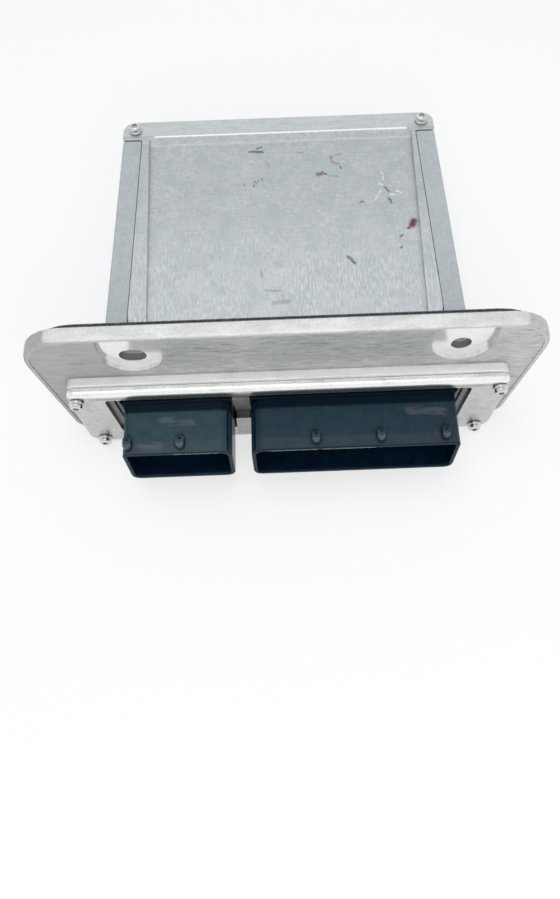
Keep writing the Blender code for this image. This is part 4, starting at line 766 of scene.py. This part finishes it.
def make_black_plastic():
    """Glass-filled black plastic, blue-green, paler towards the mouths, rubbed on top, with painted light and
    shade.
    """
    recipe = Recipe("black_plastic")
    cloud = recipe.band(recipe.noise(0.006, 5, 0.65), 0.3, 0.7)
    small = recipe.mix(cloud, (0.014, 0.036, 0.048), (0.022, 0.051, 0.066))
    large = recipe.mix(cloud, (0.004, 0.018, 0.030), (0.008, 0.029, 0.045))
    divide = OPENINGS["shroud_gap"][0][0]
    base = recipe.mix(recipe.band(recipe.x, divide, divide + 0.008), small, large)

    lip = recipe.within(recipe.y, SHROUD_LIP_Y, SHROUD_LIP_Y + 0.0055, 0.0008)
    mouth = recipe.band(recipe.y, SHROUD_LIP_Y - 0.0002, SHROUD_LIP_Y - 0.0006)
    root = recipe.band(recipe.y, SHROUD_ROOT_Y - 0.0012, SHROUD_ROOT_Y + 0.0008)
    inner_shade = mouth_mask(recipe)
    base = recipe.over(base, (0.075, 0.080, 0.100), lip, 0.16)
    # Painted shade inside the mouths, on their floors and inner faces.
    base = recipe.over(base, (0.002, 0.006, 0.012), mouth, 0.75)
    # Painted shade and dark reflection on the shrouds' roots, by the frame.
    base = recipe.over(base, (0.001, 0.004, 0.010), root, 0.85)
    base = recipe.over(base, recipe.mix(cloud, (0.002, 0.008, 0.020), (0.004, 0.014, 0.032)), inner_shade)
    base, bar = bar_dust_and_sheen(recipe, base, cloud)
    base = marked_tops(recipe, base)

    # Painted shade: darker in corners and creases, found by ambient occlusion.
    plastic_crease_shade = recipe.creases(0.0025)
    # Edges painted pale: scuffs, and painted highlight.
    base = recipe.over(base, (0.18, 0.21, 0.24), recipe.edges(0.0003), recipe.outside(root), 0.55)
    base = recipe.over(base, (0.001, 0.003, 0.008), plastic_crease_shade, recipe.outside(bar), 0.7)
    # Painted highlights along the coding teeth.
    base = recipe.over(base, (0.42, 0.47, 0.52), key_highlights(recipe, mouth), 0.75)
    fine = recipe.noise(0.0004, 3, 0.6)
    # Less specular reflection where shade is painted, and on the mouths.
    shut = recipe.either(root, inner_shade, plastic_crease_shade, recipe.both(mouth, 0.8))
    recipe.set("Base Color", base)
    recipe.set("Specular IOR Level", recipe.band(shut, 0.0, 1.0, 0.24, 0.05))
    recipe.set("Roughness", recipe.band(fine, 0.2, 0.8, 0.22, 0.36))
    recipe.bump(fine, 0.00003, 0.25)
    return recipe.material


def make_contact_block():
    """Plastic block with tinned contacts in front of it."""
    recipe = Recipe("contact_block")
    pin = recipe.math("LESS_THAN", recipe.y, BLOCK_FACE_Y)
    cloud = recipe.noise(0.002, 3, 0.6)
    tin = recipe.mix(cloud, (0.62, 0.60, 0.55), (0.78, 0.76, 0.71))
    resin = recipe.mix(cloud, (0.010, 0.012, 0.014), (0.022, 0.024, 0.026))
    recipe.set("Base Color", recipe.mix(pin, resin, tin))
    recipe.set("Metallic", pin)
    recipe.set("Roughness", recipe.band(cloud, 0.3, 0.7, 0.32, 0.48))
    return recipe.material


def make_rubber():
    """Matt black rubber with dust on it."""
    recipe = Recipe("seal_rubber")
    dust = recipe.noise(0.0015, 5, 0.7)
    dusty = recipe.band(dust, 0.40, 0.70)
    recipe.set("Base Color", recipe.mix(dusty, (0.045, 0.048, 0.051), (0.155, 0.16, 0.165)))
    recipe.set("Roughness", recipe.band(dust, 0.3, 0.7, 0.62, 0.85))
    recipe.bump(dust, 0.00008, 0.4)
    return recipe.material


def make_screw_steel():
    """Zinc-plated steel, hazy, with painted shade in the star and round the collar."""
    recipe = Recipe("screw_steel", metallic=1.0)
    haze = recipe.noise(0.0009, 4, 0.65)
    base = recipe.mix(recipe.band(haze, 0.3, 0.7), (0.56, 0.56, 0.54), (0.80, 0.80, 0.77))
    # Painted shade in the star and round the collar.
    recipe.set("Base Color", recipe.over(base, (0.10, 0.095, 0.09), recipe.creases(0.0015), 0.35))
    recipe.set("Roughness", recipe.band(haze, 0.3, 0.7, 0.14, 0.28))
    recipe.bump(haze, 0.00003, 0.3)
    return recipe.material


def make_mottled(name, first, second, size, roughness, metallic):
    """A plain material for what lies inside: two close tones, mottled at one size."""
    recipe = Recipe(name, metallic=metallic)
    grain = recipe.noise(size, 4, 0.6)
    recipe.set("Base Color", recipe.mix(recipe.band(grain, 0.3, 0.7), first, second))
    recipe.set("Roughness", recipe.band(grain, 0.3, 0.7, roughness - 0.06, roughness + 0.06))
    recipe.bump(grain, size * 0.04, 0.3)
    return recipe.material


def shade(obj):
    """Smooths curved faces and keeps flat ones flat, with modifiers only."""
    smooth = obj.modifiers.new("smooth", "NODES")
    smooth.node_group = SMOOTH
    weight = obj.modifiers.new("weight", "WEIGHTED_NORMAL")
    weight.keep_sharp = True


def soften(obj, width):
    """Rounds a node's sharp edges, if a width is given, and smooths its curved faces, with modifiers only."""
    weld = obj.modifiers.new("weld", "WELD")
    weld.merge_threshold = WELD_DISTANCE
    flat = obj.modifiers.new("flat", "DECIMATE")
    flat.decimate_type = "DISSOLVE"
    flat.angle_limit = math.radians(FLAT_ANGLE)
    if width:
        bevel = obj.modifiers.new("bevel", "BEVEL")
        bevel.width = width
        bevel.segments = BEVEL_SEGMENTS
        bevel.limit_method = "ANGLE"
        bevel.angle_limit = math.radians(BEVEL_ANGLE)
    shade(obj)


def dress(names, material, width=0.0):
    """Gives the nodes a material, smooth curves, and rounded edges if a width is given."""
    for name in names:
        soften(nodes[name], width)
        nodes[name].data.materials.clear()
        nodes[name].data.materials.append(material)


def dress_nodes(steel):
    """Gives every node its material and its rounded edges."""
    dress(["housing"], make_casting(), CASTING_EDGE)
    dress(["lid"], make_lid_metal(), LID_EDGE)
    dress(["connector_frame"], make_frame_metal(), FRAME_EDGE)
    dress(["connector_header"], make_black_plastic(), HEADER_EDGE)
    dress(["pin_block_small", "pin_block_large"], make_contact_block())
    dress(["flange_seal", "header_seal"], make_rubber())
    dress([name for name in nodes if name.startswith("board_screw")], steel, BOARD_SCREW_EDGE)
    for *look, names in INSIDE:
        dress(names, make_mottled(*look))


def screw_rings(radius, length):
    """Rings of a screw from the end of its shank to the floor of its star: radius, height, how starry."""
    tip = HEAD_HEIGHT - length
    rings = [
        (SHANK_RADIUS - TIP_CHAMFER, tip, 0.0),
        (SHANK_RADIUS, tip + TIP_CHAMFER, 0.0),
        (SHANK_RADIUS, 0.0, 0.0),
    ]
    rings += [(radius * across, HEAD_HEIGHT * up, 0.0) for across, up in HEAD_PROFILE]
    rings += [
        (STAR_RADIUS + STAR_RIM_WIDTH, HEAD_HEIGHT, 1.0),
        (STAR_RADIUS, HEAD_HEIGHT - STAR_RIM_DEPTH, 1.0),
        (STAR_RADIUS, HEAD_HEIGHT - STAR_DEPTH, 1.0),
    ]
    return rings


def screw_mesh(name, rings, turn, seat):
    """A closed mesh through all the rings, turned about its axis and put in its seat."""
    build = bmesh.new()
    rows = []
    for radius, height, starry in rings:
        row = []
        for step in range(HEAD_SEGMENTS):
            angle = 2 * math.pi * step / HEAD_SEGMENTS
            lobe = 1 - starry * (1 - STAR_WAIST) * (0.5 - 0.5 * math.cos(STAR_POINTS * angle))
            reach = radius * lobe
            place = Vector((reach * math.cos(angle + turn), reach * math.sin(angle + turn), height))
            row.append(build.verts.new(seat @ place))
        rows.append(row)
    for lower, upper in zip(rows, rows[1:]):
        for step in range(HEAD_SEGMENTS):
            after = (step + 1) % HEAD_SEGMENTS
            build.faces.new((lower[step], lower[after], upper[after], upper[step]))
    build.faces.new(list(reversed(rows[0])))
    build.faces.new(rows[-1])
    mesh = bpy.data.meshes.new(name)
    build.to_mesh(mesh)
    build.free()
    return mesh


def add_object(name, data):
    """An object of that name and data, in the scene."""
    added = bpy.data.objects.new(name, data)
    bpy.context.scene.collection.objects.link(added)
    return added


def build_screw(node, turn, material):
    """A fine screw in the place of a coarse one: collar, domed head and star recess."""
    low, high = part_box(node)
    middle = (low + high) / 2
    radius = (high.x - low.x) / 2
    if node.startswith("lid"):
        length = high.z - low.z
        seat = Matrix.Translation((middle.x, middle.y, high.z - HEAD_HEIGHT))
    else:
        length = high.y - low.y
        forward = Matrix.Rotation(math.pi / 2, 4, "X")
        seat = Matrix.Translation((middle.x, low.y + HEAD_HEIGHT, middle.z)) @ forward
    mesh = screw_mesh("fine_" + node, screw_rings(radius, length), turn, seat)
    mesh.materials.append(material)
    piece = add_object("fine_" + node, mesh)
    shade(piece)
    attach(piece, "root")
    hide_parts(node)


def build_screws(steel):
    """The six outside screws, each turned further than the one before."""
    outside = [name for name in nodes if name.startswith(("frame_screw", "lid_screw"))]
    for index, name in enumerate(sorted(outside)):
        build_screw(name, SCREW_TURN * index, steel)


def make_camera():
    """A camera that looks down on the front of the unit, rolled so that its right side shows higher."""
    data = bpy.data.cameras.new("camera")
    data.sensor_width = SENSOR_MM
    data.lens = FOCAL_PIXELS / LONG_SIDE * SENSOR_MM
    data.shift_x = -AXIS_OFFSET / LONG_SIDE
    data.clip_start = CLIP_NEAR
    data.clip_end = CLIP_FAR
    camera = add_object("camera", data)
    tip = Matrix.Rotation(math.radians(90 - CAMERA_DIP), 4, "X")
    roll = Matrix.Rotation(math.radians(-CAMERA_ROLL), 4, "Z")
    camera.matrix_world = Matrix.Translation(CAMERA_PLACE) @ tip @ roll
    bpy.context.scene.camera = camera


def make_lamp(name, place, size, watts, mirrored):
    """An area light that aims at the unit, and shows in reflections if it is mirrored."""
    data = bpy.data.lights.new(name, "AREA")
    data.shape = "RECTANGLE"
    data.size, data.size_y = size
    data.energy = watts
    lamp = add_object(name, data)
    lamp.location = place
    lamp.rotation_euler = (Vector(LAMP_TARGET) - Vector(place)).to_track_quat("-Z", "Y").to_euler()
    lamp.visible_glossy = mirrored


def make_world():
    """A white room, a little shaded halfway up, as a studio is between its walls and its lit ceiling."""
    world = bpy.data.worlds.new("studio")
    world.use_nodes = True
    bpy.context.scene.world = world
    graph = Graph(world.node_tree)
    split = graph.node("ShaderNodeSeparateXYZ")
    graph.feed(split.inputs[0], graph.node("ShaderNodeTexCoord").outputs["Generated"])
    rise = split.outputs["Z"]
    lean = graph.math("ADD", rise, graph.math("MULTIPLY", split.outputs["Y"], CEILING_LEAN))
    ceiling = graph.band(lean, *CEILING_SPAN, SKY_SHADE, 1.0)
    walls = graph.band(rise, *WALL_SPAN, 1.0, 0.0)
    background = graph.tree.nodes["Background"]
    graph.feed(background.inputs["Color"], graph.mix(graph.either(ceiling, walls), (0, 0, 0), WORLD_TINT))
    graph.feed(background.inputs["Strength"], graph.band(graph.open_view(), 0.0, 1.0, WORLD_STRENGTH, 1.0))


def make_floor():
    """White paper that glows for the camera: in part near the unit, which keeps the shadow, fully far away."""
    mesh = bpy.data.meshes.new("floor")
    sides = ((-1, -1), (1, -1), (1, 1), (-1, 1))
    mesh.from_pydata([(x * FLOOR_REACH, y * FLOOR_REACH, 0) for x, y in sides], [], [(0, 1, 2, 3)])
    floor = add_object("floor", mesh)
    floor.location.z = -FLOOR_DROP
    recipe = Recipe("paper", roughness=0.9)
    fibre = recipe.noise(0.004, 4, 0.6)
    recipe.set("Base Color", recipe.mix(fibre, (0.92, 0.93, 0.94), (0.94, 0.95, 0.955)))
    glow = recipe.node("ShaderNodeEmission")
    recipe.feed(glow.inputs["Color"], (1.0, 1.0, 1.0))
    away = recipe.vector("LENGTH", recipe.place, result="Value")
    share = recipe.band(away, FLOOR_NEAR, FLOOR_FAR, FLOOR_GLOW, 1.0)
    blend = recipe.node("ShaderNodeMixShader")
    recipe.feed(blend.inputs["Fac"], recipe.both(recipe.open_view(), share))
    recipe.feed(blend.inputs[1], recipe.shader.outputs[0])
    recipe.feed(blend.inputs[2], glow.outputs[0])
    recipe.feed(recipe.tree.nodes["Material Output"].inputs["Surface"], blend.outputs[0])
    mesh.materials.append(recipe.material)


screw_steel = make_screw_steel()
dress_nodes(screw_steel)
build_screws(screw_steel)
make_camera()
make_world()
for lamp_row in LAMPS:
    make_lamp(*lamp_row)
make_floor()
bpy.context.scene.view_settings.view_transform = "Standard"
